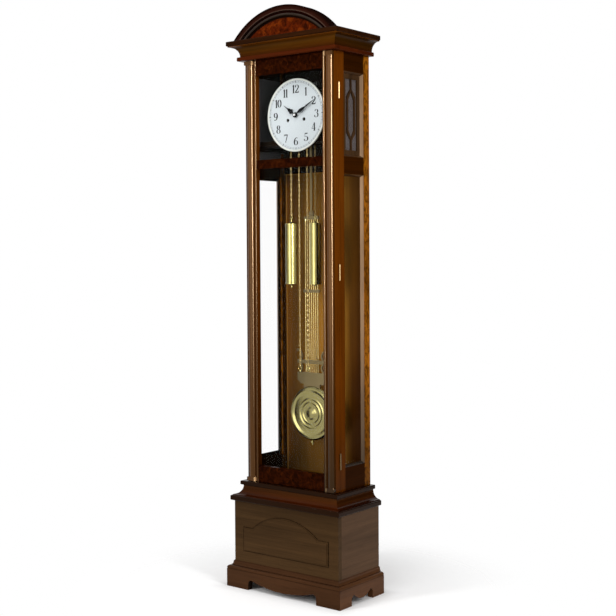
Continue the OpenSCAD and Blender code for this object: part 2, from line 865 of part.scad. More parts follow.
// The moulded band of the pediment: from the outside in a lip, a face, a groove, a bead and a flat
module pediment_arch() {
  y0 = front_y - crown_out + pediment_set;
  groove_in = arch_lip_w + arch_face_w;
  bead_in = groove_in + arch_groove_w;
  color(walnut) {
    difference() {
      plate_xz(y0, y0 + pediment_d) arch_outline(0);
      plate_xz(y0 - 1, y0 + arch_lip_t) arch_outline(arch_lip_w);
      plate_xz(y0 - 1, y0 + tympanum_set) arch_outline(groove_in);
      plate_xz(y0 - 1, y0 + pediment_d + 1) arch_outline(arch_band);
    }
    difference() {
      plate_xz(y0 + arch_bead_set, y0 + tympanum_set + 1) arch_outline(bead_in);
      plate_xz(y0 + arch_bead_set - 1, y0 + tympanum_set + 2) arch_outline(bead_in + arch_bead_w);
    }
  }
}

module pediment_tympanum() {
  y0 = front_y - crown_out + pediment_set + tympanum_set;
  color(burl) plate_xz(y0, y0 + tympanum_t) arch_outline(arch_band);
}

module seat_board() {
  color(walnut) difference() {
    block(-inner_x, inner_x, seat_y0, seat_y0 + seat_d, seat_z, seat_z + seat_t);
    both_sides() for (x = [chain_arbor_x - chain_wheel_r, chain_arbor_x + chain_wheel_r])
      translate([x, chain_y, seat_z - 1]) cylinder(r = chain_hole_r, h = seat_t + 2, $fn = 48);
  }
}

module seat_cleats() {
  color(walnut) both_sides() block(inner_x - cleat_w, inner_x, case_y + cleat_set, back_y - back_t,
    seat_z - cleat_w, seat_z);
}

// A hinge knuckle between two heights, with the bore for the pin
module knuckle(z0, z1) {
  difference() {
    translate([0, 0, z0]) cylinder(r = knuckle_r, h = z1 - z0, $fn = 48);
    translate([0, 0, z0 - 1]) cylinder(r = hinge_pin_r + hinge_fit, h = z1 - z0 + 2, $fn = 48);
  }
}

// A hinge leaf; it reaches the pin only at its own knuckles
module hinge_leaf(y0, spans) {
  block(-leaf_w, -knuckle_r - clear, y0, y0 + leaf_t, -hinge_h / 2, hinge_h / 2);
  for (s = spans) {
    knuckle(s[0], s[1]);
    difference() {
      block(-leaf_w, 0, y0, y0 + leaf_t, s[0], s[1]);
      cylinder(r = (knuckle_r + hinge_pin_r) / 2, h = 2 * hinge_h, center = true, $fn = 48);
    }
  }
}

module hinge_case_leaves() {
  z = hinge_h / 6 + clear / 2;
  color(brass) hinge_places() hinge_leaf(leaf_gap / 2, [[-hinge_h / 2, -z], [z, hinge_h / 2]]);
}

module hinge_door_leaves() {
  z = hinge_h / 6 - clear / 2;
  color(brass) hinge_places() hinge_leaf(-leaf_gap / 2 - leaf_t, [[-z, z]]);
}

module hinge_pins() {
  color(brass) hinge_places() {
    cylinder(r = hinge_pin_r, h = hinge_h, center = true, $fn = 48);
    for (s = [-1, 1]) translate([0, 0, s * (hinge_h + pin_cap_t) / 2])
      cylinder(r = knuckle_r - 1, h = pin_cap_t, center = true, $fn = 48);
  }
}

// The rebates for the two door panes, open to the back
module door_rooms() {
  r = rebate_w + pane_gap;
  x = door_inner_x + r;
  block(-x, x, pane_y0, door_back_y + 1, rail_z - r, door_upper_z1 + r);
  block(-x, x, pane_y0, door_back_y + 1, door_lower_z0 - r, door_lower_z1 + r);
}

module door_stiles() {
  color(walnut) difference() {
    both_sides() block(door_inner_x, half_w, front_y, door_back_y, door_z0, door_z1);
    door_rooms();
    hinge_places() leaf_room(-1);
  }
}

module door_rails() {
  color(burl) difference() {
    union() for (z = [[door_upper_z1, door_z1], [door_lower_z1, rail_z], [door_z0, door_lower_z0]])
      block(-door_inner_x, door_inner_x, front_y, door_back_y, z[0], z[1]);
    door_rooms();
  }
}

module door_columns() {
  x = half_w - column_in;
  bead_x = door_inner_x + column_bead_r + 1;
  long = door_z1 - door_z0;
  color(walnut) both_sides() difference() {
    union() {
      translate([x, front_y - column_out + column_r, door_z0]) cylinder(r = column_r, h = long, $fn = 96);
      translate([bead_x, front_y, door_z0]) cylinder(r = column_bead_r, h = long, $fn = 48);
      for (z = [door_z0, door_z1 - column_cap_h])
        block(x - column_cap_w / 2, x + column_cap_w / 2, front_y - column_out - column_cap_out, front_y,
          z, z + column_cap_h);
    }
    block(0, half_w + 1, front_y, front_y + 3 * column_r, door_z0 - 1, door_z1 + 1);
  }
}

module door_glasses() {
  x = door_inner_x + rebate_w;
  color(clear_glass) for (z = [[rail_z, door_upper_z1], [door_lower_z0, door_lower_z1]])
    block(-x, x, pane_y0, pane_y0 + glass_t, z[0] - rebate_w, z[1] + rebate_w);
}

// Teeth of a wheel as one closed outline, with a tooth's middle at angle 0
module toothed_outline(teeth, tooth_size, tip_share, root_share) {
  pitch_r = teeth * tooth_size / 2;
  polygon([for (i = [0 : teeth - 1], k = [0 : 3])
    let (at_root = k == 0 || k == 3, share = at_root ? root_share : tip_share,
      r = pitch_r + tooth_size * (at_root ? -tooth_low : tooth_high),
      a = 360 / teeth * (i + (k < 2 ? -share : share) / 2))
    [r * cos(a), r * sin(a)]]);
}

// A wheel across Y with five round crossings
module wheel(teeth, tooth_size, turn, bore) {
  pitch_r = teeth * tooth_size / 2;
  plate_xz(0, wheel_t) difference() {
    rotate(turn) toothed_outline(teeth, tooth_size, 0.16, 0.5);
    for (i = [0 : 4]) rotate(72 * i) translate([pitch_r * crossing_place, 0])
      circle(r = pitch_r * crossing_size, $fn = 40);
    circle(r = bore, $fn = 40);
  }
}

module pinion(teeth, tooth_size, turn, long) {
  plate_xz(0, long) rotate(turn) toothed_outline(teeth, tooth_size, 0.12, 0.42);
}

module movement_plates() {
  color(brass) {
    rod_y(0, dial_z - motion_distance, stud_r, plate_y0 - motion_depth, plate_y0);
    difference() {
      for (y = [plate_y0, space_y1])
        block(-plate_w / 2, plate_w / 2, y, y + plate_t, plates_z0, plates_z1);
      for (p = [[0, 0], [chain_arbor_x, -chain_arbor_drop], [-chain_arbor_x, -chain_arbor_drop],
        [third_x, third_dz], [0, escape_dz], [0, anchor_dz], [hammer_x, hammer_dz]])
        rod_y(p[0], dial_z + p[1], arbor_r + arbor_fit, plate_y0 - 1, plate_y1 + 1);
    }
  }
}

module movement_pillars() {
  x = plate_w / 2 - pillar_in;
  color(brass) for (s = [-1, 1], z = [plates_z0 + pillar_in, plates_z1 - pillar_in])
    rod_y(s * x, z, pillar_r, space_y0, space_y1);
}

module dial() {
  back = dial_y + dial_t;
  color("white") difference() {
    union() {
      rod_y(0, dial_z, dial_r, dial_y, back);
      difference() {
        rod_y(0, dial_z, dial_r + dial_rim, dial_y - dial_rim_out, back + 1);
        rod_y(0, dial_z, dial_r - 1, dial_y - 2 * dial_rim_out, back + 2);
      }
      for (s = [-1, 1], z = [dial_foot_low, dial_foot_high])
        rod_y(s * dial_foot_x, dial_z + z, dial_foot_r, dial_y + dial_t / 2, plate_y0);
    }
    rod_y(0, dial_z, pipe_r + 2 * clear, dial_y - 1, back + 1);
    both_sides() rod_y(chain_arbor_x, arbor_z, dial_hole_r, dial_y - 1, back + 1);
  }
}

// The bell on its post, which stands on a strap across both plates
module gong_bell() {
  reach = plate_space / 2 + plate_t;
  color(brass) translate([0, bell_y, plates_z1]) {
    translate([0, 0, bell_gap]) rotate_extrude($fn = 96) polygon(concat(
      [for (a = [0 : 10 : 90]) [bell_r * cos(a), bell_h * sin(a)]],
      [for (a = [90 : -10 : 0]) [(bell_r - bell_wall) * cos(a), (bell_h - bell_wall) * sin(a)]]));
    cylinder(r = bell_post_r, h = bell_gap + bell_h - bell_wall / 2, $fn = 48);
    block(-2 * bell_post_r, 2 * bell_post_r, -reach, reach, 0, plate_t);
  }
}

module strike_hammer() {
  z = dial_z + hammer_dz;
  head_z = plates_z1 + bell_gap + hammer_r;
  color(dark_steel) {
    rod_y(hammer_x, z, arbor_r, plate_y0, plate_y1);
    block(hammer_x - arbor_r, hammer_x + arbor_r, bell_y - wheel_t / 2, bell_y + wheel_t / 2, z, head_z);
    translate([hammer_x - hammer_l / 2, bell_y, head_z]) rotate([0, 90, 0])
      cylinder(r = hammer_r, h = hammer_l, $fn = 48);
  }
}

module strike_great_wheel() {
  color(brass) translate([chain_arbor_x, great_y, arbor_z])
    wheel(strike_wheel_teeth, train_module, 0, collar_r + arbor_fit);
}

module time_great_wheel() {
  to_centre = atan2(chain_arbor_drop, chain_arbor_x);
  color(brass) translate([-chain_arbor_x, great_y, arbor_z])
    wheel(great_teeth, great_module, to_centre, collar_r + arbor_fit);
}

// The centre arbor with its pinion, wheel, cannon pinion, pipe and nut
module centre_arbor() {
  to_great = atan2(-chain_arbor_drop, -chain_arbor_x);
  gap = 180 / pinion_teeth;
  color(brass) {
    rod_y(0, dial_z, arbor_r, plate_y0 - 1, plate_y1);
    rod_y(0, dial_z, cannon_r, minute_hand_y, plate_y0 - 1);
    rod_y(0, dial_z, hand_nut_r, minute_hand_y - hand_nut_t, minute_hand_y);
    translate([0, great_y - pinion_over, dial_z])
      pinion(pinion_teeth, great_module, to_great + gap, pinion_l);
    translate([0, centre_wheel_y, dial_z])
      wheel(centre_teeth, train_module, atan2(third_dz, third_x), arbor_r - bond);
    translate([0, minute_wheel_y - 1, dial_z]) pinion(cannon_teeth, cannon_module, 90, wheel_t + 2);
  }
}

module third_wheel() {
  to_centre = atan2(-third_dz, -third_x);
  to_escape = atan2(escape_dz - third_dz, -third_x);
  color(brass) translate([third_x, 0, dial_z + third_dz]) {
    rod_y(0, 0, arbor_r, plate_y0, plate_y1);
    translate([0, centre_wheel_y - pinion_over, 0])
      pinion(pinion_teeth, train_module, to_centre + 180 / pinion_teeth, pinion_l);
    translate([0, third_wheel_y, 0]) wheel(third_teeth, train_module, to_escape, arbor_r - bond);
  }
}

module escape_wheel() {
  to_third = atan2(third_dz - escape_dz, third_x);
  color(brass) translate([0, 0, dial_z + escape_dz]) {
    rod_y(0, 0, arbor_r, plate_y0, plate_y1);
    translate([0, third_wheel_y - pinion_over, 0])
      pinion(pinion_teeth, train_module, to_third + 180 / pinion_teeth, pinion_l);
    plate_xz(escape_y, escape_y + wheel_t) difference() {
      polygon([for (i = [0 : escape_teeth - 1], k = [0 : 1])
        let (a = 360 / escape_teeth * (i + k / 4), r = escape_r - k * escape_tooth)
        [r * cos(a), r * sin(a)]]);
      for (i = [0 : 4]) rotate(72 * i) translate([escape_r / 2, 0]) circle(r = escape_r / 5, $fn = 32);
    }
  }
}

// The anchor over the escape wheel, and the crutch behind the plates
module anchor_and_crutch() {
  drop = anchor_dz - escape_dz;
  inner = escape_r + anchor_gap;
  y = plate_y1 + 1;
  y1 = y + crutch_t;
  fork_x = leader_w / 2 + clear;
  color(dark_steel) translate([0, 0, swing_z]) {
    rod_y(0, 0, arbor_r, plate_y0, y1);
    rod_y(0, 0, anchor_hub_r, y, y1);
    plate_xz(escape_y, escape_y + wheel_t) {
      circle(r = anchor_hub_r, $fn = 48);
      translate([0, -drop]) difference() {
        circle(r = inner + anchor_band, $fn = 96);
        circle(r = inner, $fn = 96);
        translate([-2 * inner, -2 * inner]) square([4 * inner, 2 * inner + inner * cos(anchor_span)]);
      }
    }
    block(-crutch_t, crutch_t, y, y1, -crutch_l, 0);
    block(-fork_x - crutch_t, fork_x + crutch_t, y, y1, -crutch_l - fork_h, -crutch_l);
    both_sides() block(fork_x, fork_x + crutch_t, y, swing_y + leader_t, -crutch_l - fork_h, -crutch_l);
  }
}

module minute_wheel() {
  z = dial_z - motion_distance;
  y0 = plate_y0 - motion_depth + clear;
  color(brass) difference() {
    union() {
      translate([0, minute_wheel_y, z])
        wheel(minute_wheel_teeth, cannon_module, 90 + 180 / minute_wheel_teeth, stud_r / 2);
      translate([0, y0, z]) pinion(minute_pinion_teeth, hour_module, 90, minute_wheel_y + bond - y0);
    }
    rod_y(0, z, stud_r + arbor_fit, y0 - 1, minute_wheel_y + wheel_t + 1);
  }
}

module hour_wheel() {
  y0 = minute_wheel_y - wheel_t - 2 * clear - 1;
  color(brass) {
    translate([0, y0, dial_z])
      wheel(hour_wheel_teeth, hour_module, -90 + 180 / hour_wheel_teeth, pipe_r - bond);
    difference() {
      rod_y(0, dial_z, pipe_r, hour_hand_y - 1, y0 + wheel_t);
      rod_y(0, dial_z, cannon_r + arbor_fit, hour_hand_y - 2, y0 + wheel_t + 1);
    }
  }
}

// A hand that points up from the centre, given by the outline of its right half
module hand_outline(right, boss) {
  circle(r = boss, $fn = 48);
  polygon(concat(right, [for (i = [len(right) - 1 : -1 : 0]) [-right[i][0], right[i][1]]]));
}

// A long blade with a notch past its middle
module minute_hand() {
  w = minute_blade_w / 2;
  l = minute_hand_l;
  color(dark_steel) translate([0, 0, dial_z]) plate_xz(minute_hand_y, minute_hand_y + hand_t)
    rotate(-6 * show_minute) difference() {
      hand_outline([[hand_neck, 0], [hand_neck, l * 0.12], [w, l * 0.27], [w * 0.85, l * 0.4],
        [hand_neck, l * 0.54], [w * 0.5, l * 0.6], [w * 0.35, l * 0.76], [hand_neck / 3, l]],
        hand_nut_r + hand_boss);
      circle(r = cannon_r, $fn = 48);
    }
}

// A spade with two lobes on each side
module hour_hand() {
  w = hour_spade_w / 2;
  l = hour_hand_l;
  color(dark_steel) translate([0, 0, dial_z]) plate_xz(hour_hand_y, hour_hand_y + hand_t)
    rotate(-30 * show_hour - show_minute / 2) difference() {
      hand_outline([[hand_neck, 0], [hand_neck, l * 0.24], [w * 0.7, l * 0.3], [w, l * 0.38],
        [w * 0.55, l * 0.46], [w * 0.65, l * 0.53], [hand_neck, l * 0.68], [hand_neck / 3, l]],
        pipe_r + hand_boss);
      circle(r = pipe_r, $fn = 48);
    }
}

// A chain wheel with its arbor; the chain hangs in the groove between the flanges
module chain_wheel(x) {
  half = chain_r + 1;
  color(brass) translate([x, 0, arbor_z]) {
    rod_y(0, 0, arbor_r, dial_y + dial_t / 2, plate_y1);
    rod_y(0, 0, collar_r, chain_y, great_y + wheel_t + 1);
    rod_y(0, 0, chain_wheel_r - chain_r - clear, chain_y - half - flange_t, chain_y + half + flange_t);
    for (y = [-half - flange_t, half]) rod_y(0, 0, chain_wheel_r + 2, chain_y + y, chain_y + y + flange_t);
  }
}

module left_chain_wheel() {
  chain_wheel(-chain_arbor_x);
}

module right_chain_wheel() {
  chain_wheel(chain_arbor_x);
}

// A turned ring that stands across Y, with a round section
module ring_y(r, wire_r) {
  rotate([90, 0, 0]) rotate_extrude($fn = 64) translate([r, 0]) circle(r = wire_r, $fn = 32);
}

// A brass weight with raised end caps, a finial below and an eye above
module weight(x) {
  r = weight_r;
  body_r = r - weight_cap_out;
  low = weight_cap_h;
  high = weight_h - weight_cap_h;
  neck_r = finial_r - 1;
  color(brass) translate([x, chain_y, weight_low_z]) {
    rotate_extrude($fn = 96) polygon([[0, -finial_h], [neck_r, -finial_h], [finial_r, 1 - finial_h],
      [neck_r, -finial_h / 2], [r / 3, 0], [body_r, 0], [r, 1], [r, low], [body_r, low + 1],
      [body_r, high - 1], [r, high], [r, weight_h - 1], [body_r, weight_h], [r / 3, weight_h],
      [neck_r, weight_h + finial_h / 2], [neck_r, weight_eye_up - weight_eye_r],
      [0, weight_eye_up - weight_eye_r]]);
    translate([0, 0, weight_eye_up]) ring_y(weight_eye_r, wire_r);
  }
}

module left_weight() {
  weight(-chain_arbor_x - chain_wheel_r);
}

module right_weight() {
  weight(chain_arbor_x + chain_wheel_r);
}

// One straight strand of chain, from its lower end up to its wheel
module strand(x, z0) {
  color(brass) translate([x, chain_y, z0]) cylinder(r = chain_r, h = arbor_z - z0, $fn = 32);
}

module left_weight_chain() {
  strand(-chain_arbor_x - chain_wheel_r, weight_chain_z);
}

module right_weight_chain() {
  strand(chain_arbor_x + chain_wheel_r, weight_chain_z);
}

module left_free_chain() {
  strand(chain_wheel_r - chain_arbor_x, free_chain_z);
}

module right_free_chain() {
  strand(chain_arbor_x - chain_wheel_r, free_chain_z);
}

// The pull ring at the free end, with a ball below it
module chain_ring(x) {
  color(brass) translate([x, chain_y, chain_ring_z]) {
    ring_y(chain_ring_r, wire_r);
    translate([0, 0, -chain_ring_r - ring_ball_r]) sphere(r = ring_ball_r, $fn = 40);
  }
}

module left_chain_ring() {
  chain_ring(chain_wheel_r - chain_arbor_x);
}

module right_chain_ring() {
  chain_ring(chain_arbor_x - chain_wheel_r);
}

// The bracket behind the back plate, over the pendulum's spring
module back_cock() {
  z0 = swing_z + clear;
  y1 = swing_y + cock_d / 2;
  color(brass) {
    both_sides() block(cock_w / 2 - cock_h, cock_w / 2, plate_y1, y1, z0, z0 + cock_h);
    block(-cock_w / 2, cock_w / 2, swing_y - cock_d / 2, y1, z0, z0 + cock_h);
  }
}

module suspension_spring() {
  color(steel) block(-spring_t / 2, spring_t / 2, swing_y - leader_w / 2, swing_y + leader_w / 2,
    swing_z - spring_l, swing_z);
}

// The places of the rods, side by side over the bob
module rod_places() {
  for (i = [0 : rod_count - 1]) translate([(i - (rod_count - 1) / 2) * rod_pitch, swing_y, 0]) children();
}

// One scroll of the lyre: half a ring that opens to the side
module scroll(z, r) {
  translate([lyre_w / 2, z]) difference() {
    circle(r = r + scroll_band / 2, $fn = 96);
    circle(r = r - scroll_band / 2, $fn = 96);
    translate([0, -2 * r]) square([2 * r, 4 * r]);
  }
}

// The lyre's outline, from the foot on the bob up to the upper scrolls
module lyre_outline() {
  w = lyre_w / 2;
  f = lyre_foot_w / 2;
  low_z = lyre_top - lyre_plate_h;
  scroll_z = lyre_top + scroll_r - scroll_band / 2;
  foot_z = bob_r / 2;
  difference() {
    polygon([[-w, lyre_top], [w, lyre_top], [w, low_z + (w - f) / 2], [(w + f) / 2, low_z],
      [f, low_z], [f, foot_z], [-f, foot_z], [-f, low_z], [-(w + f) / 2, low_z],
      [-w, low_z + (w - f) / 2]]);
    circle(r = bob_r + rod_fit, $fn = 180);
  }
  translate([-w, lyre_bar_z - lyre_bar_h / 2]) square([2 * w, lyre_bar_h]);
  for (s = [0, 1]) mirror([s, 0]) {
    difference() {
      scroll(scroll_z, scroll_r);
      translate([0, lyre_bar_z]) square([2 * w, 2 * scroll_r]);
    }
    scroll(lyre_bar_z + scroll_r, scroll_r);
    translate([w, lyre_bar_z + 2 * scroll_r]) circle(r = scroll_band * 0.7, $fn = 48);
  }
}

// The leader, the two bridges and the lyre; the rods' bores go through them
module pendulum_lyre() {
  half = rod_count * rod_pitch / 2 + 1;
  y0 = swing_y - lyre_t / 2;
  y1 = swing_y + lyre_t / 2;
  color(brass) difference() {
    union() {
      block(-leader_w / 2, leader_w / 2, swing_y - leader_t / 2, swing_y + leader_t / 2,
        rods_z1, swing_z - spring_l);
      block(-half, half, y0, y1, rods_z1 - bridge_h, rods_z1);
      block(-half - bridge_over, half + bridge_over, y0, y1, bridge_z, bridge_z + bridge_h);
      plate_xz(y0, y1) translate([0, bob_mid_z]) lyre_outline();
      translate([0, swing_y, bob_mid_z + bob_r - stem_in]) cylinder(r = stem_r, h = 2 * stem_in, $fn = 32);
      plate_xz(y0, y1) translate([0, hub_z]) circle(r = hub_r, $fn = 64);
    }
    plate_xz(y0 - 1, y1 + 1) translate([0, hub_z]) for (a = [45 : 90 : 315]) rotate(a)
      translate([hub_r * 0.55, 0]) circle(r = hub_r / 5, $fn = 32);
    rod_places() translate([0, 0, rods_z0]) cylinder(r = rod_r + rod_fit, h = rods_l, $fn = 32);
  }
}

module pendulum_rods() {
  color(brass) rod_places() translate([0, 0, rods_z0]) cylinder(r = rod_r, h = rods_l, $fn = 32);
}

// The bob: a broad rim that slopes inward, a dished field, two low rings and a dome in the middle
module pendulum_bob() {
  h = bob_t / 2;
  r = bob_r;
  flat = h - bob_step;
  color(brass) translate([0, swing_y, bob_mid_z]) difference() {
    rotate([90, 0, 0]) rotate_extrude($fn = 180) polygon([[0, -flat], [0.85 * r, -flat], [r, -bob_edge / 2],
      [r, bob_edge / 2], [0.94 * r, flat - bob_edge / 2], [0.87 * r, flat], [0.78 * r, flat - bob_step],
      [0.58 * r, flat - bob_step], [0.53 * r, flat - bob_edge / 2], [0.48 * r, flat - bob_step],
      [0.44 * r, flat - bob_step], [0.39 * r, flat - bob_edge / 2], [0.34 * r, flat - bob_step],
      [0.24 * r, flat - bob_step], [0.18 * r, flat], [0.08 * r, h - 1], [0, h]]);
    translate([0, 0, -2 * r]) cylinder(r = stem_r + rod_fit, h = r + stem_in, $fn = 32);
    translate([0, 0, r - stem_in]) cylinder(r = stem_r + rod_fit, h = r, $fn = 32);
  }
}

// The threaded stem below the bob with its round nut
module rating_nut() {
  color(brass) translate([0, swing_y, bob_mid_z - bob_r]) {
    translate([0, 0, -stem_out]) cylinder(r = stem_r, h = stem_out + stem_in, $fn = 32);
    translate([0, 0, -stem_out / 2]) cylinder(r = nut_r, h = nut_h, $fn = 48);
  }
}

plinth_front();
plinth_sides();
base_front_panel();
base_side_panels();
base_floor_board();
back_boards();
waist_lower_board();
waist_cove_moulding();
trunk_floor_board();
trunk_stiles();
side_rails();
side_window_beads();
side_frets();
sound_cloth_panels();
side_window_glasses();
neck_board();
cornice_cove_moulding();
crown_board();
pediment_arch();
pediment_tympanum();
seat_board();
seat_cleats();
hinge_case_leaves();
hinge_pins();
movement_plates();
movement_pillars();
dial();
back_cock();
gong_bell();
strike_hammer();
strike_great_wheel();
door_stiles();
door_rails();
door_columns();
door_glasses();
hinge_door_leaves();
centre_arbor();
minute_hand();
hour_wheel();
hour_hand();
minute_wheel();
time_great_wheel();
third_wheel();
escape_wheel();
anchor_and_crutch();
left_chain_wheel();
right_chain_wheel();
left_weight();
right_weight();
left_weight_chain();
right_weight_chain();
left_free_chain();
right_free_chain();
left_chain_ring();
right_chain_ring();
suspension_spring();
pendulum_rods();
pendulum_lyre();
pendulum_bob();
rating_nut();
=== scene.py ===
"""Longcase clock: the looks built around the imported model. Metres, +Z is up, the front faces -Y."""
import math

import bmesh
import bpy
from mathutils import Matrix, Vector


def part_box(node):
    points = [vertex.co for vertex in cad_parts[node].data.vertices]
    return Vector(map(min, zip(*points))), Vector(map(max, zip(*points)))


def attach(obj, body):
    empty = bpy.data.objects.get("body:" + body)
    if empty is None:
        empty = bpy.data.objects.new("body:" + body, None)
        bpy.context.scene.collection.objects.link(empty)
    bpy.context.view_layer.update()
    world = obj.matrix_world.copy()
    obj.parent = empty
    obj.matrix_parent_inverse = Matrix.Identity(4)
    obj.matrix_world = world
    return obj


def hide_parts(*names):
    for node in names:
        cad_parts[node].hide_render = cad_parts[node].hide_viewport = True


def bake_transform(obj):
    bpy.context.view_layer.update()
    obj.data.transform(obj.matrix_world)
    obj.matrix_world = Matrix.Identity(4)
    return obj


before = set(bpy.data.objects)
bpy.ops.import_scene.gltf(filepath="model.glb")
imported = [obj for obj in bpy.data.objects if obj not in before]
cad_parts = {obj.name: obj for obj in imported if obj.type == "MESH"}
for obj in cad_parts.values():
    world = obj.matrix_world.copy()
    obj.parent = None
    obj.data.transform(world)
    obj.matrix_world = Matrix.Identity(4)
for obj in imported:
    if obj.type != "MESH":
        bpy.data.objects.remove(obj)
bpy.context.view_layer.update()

# Camera, fitted to the case's corners in the photo
YAW = math.radians(38.15)
PITCH = math.radians(2.047)
ROLL = math.radians(-0.324)
CAMERA_AT = Vector((2.5244, -3.1849, 1.1761))
LENS_MM = 69.40
SENSOR_MM = 36.0
SHIFT_Y = -17 / 616

# Places in the CAD frame
HALF_W = 0.191
FRONT_Y = -0.071
DIAL_Z = 1.628
DIAL_FACE_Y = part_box("dial")[0].y + 0.0015
DIAL_RIM_R = 0.1172

# The dial's print: hours and minute track
PRINT_Y = (DIAL_FACE_Y - 0.00025, DIAL_FACE_Y + 0.0001)
NUMERAL_R = 0.0882
NUMERAL_H = 0.0272
FIGURE_WIDEN = 1.12
FIGURE_PITCH = {"1": 0.34, "0": 0.56}
USUAL_PITCH = 0.6
THIN, THICK = 0.03, 0.185
TRACK_R = 0.1127
TRACK_LINE = 0.0002
MINUTE_TICK = (0.0021, 0.0008)
FIVE_MINUTE_TICK = (0.0034, 0.0022)

# Chain links of round wire
LINK_L = 0.0105
LINK_W = 0.0058
LINK_WIRE_R = 0.00085
LINK_OVERLAP = 2.3 * LINK_WIRE_R
LINK_STEPS = 12
WIRE_STEPS = 6

# Bands and panels that materials follow
ARCH_R = 0.278
ARCH_CENTRE_Z = 1.708
ARCH_BAND = 0.041
VENEER_HALF_W = 0.1645
VENEER_TOP_Z = 1.440
VENEER_LINE = 0.0016
# Where painted shade darkens the back panel: towards its sides, and behind the right weight
VENEER_SIDE_SHADE_X = (0.09, 0.15)
VENEER_SHADE_X = (0.085, 0.125)
VENEER_SHADE_Z = (0.72, 1.12)
VENEER_GAIN = 1.6
STILE_FAR_Y = (0.045, 0.125)
CORNICE_Z = (1.836, 1.873)
WAIST_Z = (0.318, 0.354)
# Gain on the painted shade and highlights of the mouldings
MOULDING_LIGHT_GAIN = 2.0
# The strip of |x| lit by a painted highlight on the columns' beads, and its gain per channel
BEAD_HIGHLIGHT_X = (0.1500, 0.1585)
BEAD_HIGHLIGHT_GAIN = (10.0, 16.5, 34.0)
CLOTH_WAVES = 5200.0

# What a face's normal has to pass to count as looking inward, forward or backward
INWARD = -0.05
FORWARD = -0.6
BACKWARD = 0.5

# The height that ramps along Z are spread over
RAMP_HEIGHT = 2.0

# World and floor
AMBIENT = 0.42
FLOOR_ALBEDO = 0.88
FLOOR_GLOW = 0.24
# Reach of the painted contact shadow beyond the clock's footprint, where the floor's glow rises from nothing
FLOOR_PAINTED_SHADOW_REACH = (-0.02, 0.07)
FOOT_HALF_W = 0.241
FOOT_HALF_D = 0.121
FLOOR_SOLID = 0.30
FLOOR_END = 0.85
FLOOR_STEPS = 72

# Panels seen only in reflections, as (azimuth, span, low z, high z, radiance)
GLOSS_RANGE = 4.8
GLOSS_PANELS = ((-12, 12, 0.3, 3.2, 3.2), (0, 12, 0.3, 3.2, 3.8), (12, 12, 0.3, 3.2, 3.2),
                (60, 14, 1.2, 3.2, 110), (60, 14, 0.8, 1.2, 60),
                (60, 14, 0.4, 0.8, 26), (60, 14, 0.0, 0.4, 9))

# Curtain and card seen only in reflections
CURTAIN_RANGE = 2.7
CURTAIN_AZIMUTH = (68, 168)
CURTAIN_STEPS = 12
CURTAIN_TOP = 2.8
CURTAIN_GLOW = (0.30, 0.20, 0.06)
CURTAIN_GLOW_Z = (1.05, 1.15, 1.70, 1.85)
CARD_Y = (-0.045, 0.025)
CARD_Z = (1.04, 1.42)

# Lamps as (name, place, width, height, power); all look at LAMP_TARGET
LAMP_TARGET = (0, 0, 1.0)
LAMPS = (("strip_front_left", (-1.4, -3.4, 1.9), 0.5, 2.4, 72),
         ("strip_right", (3.2, -0.9, 2.2), 0.4, 2.0, 56),
         ("top_soft", (0.3, -1.6, 3.8), 1.2, 1.2, 30))


# Node helpers


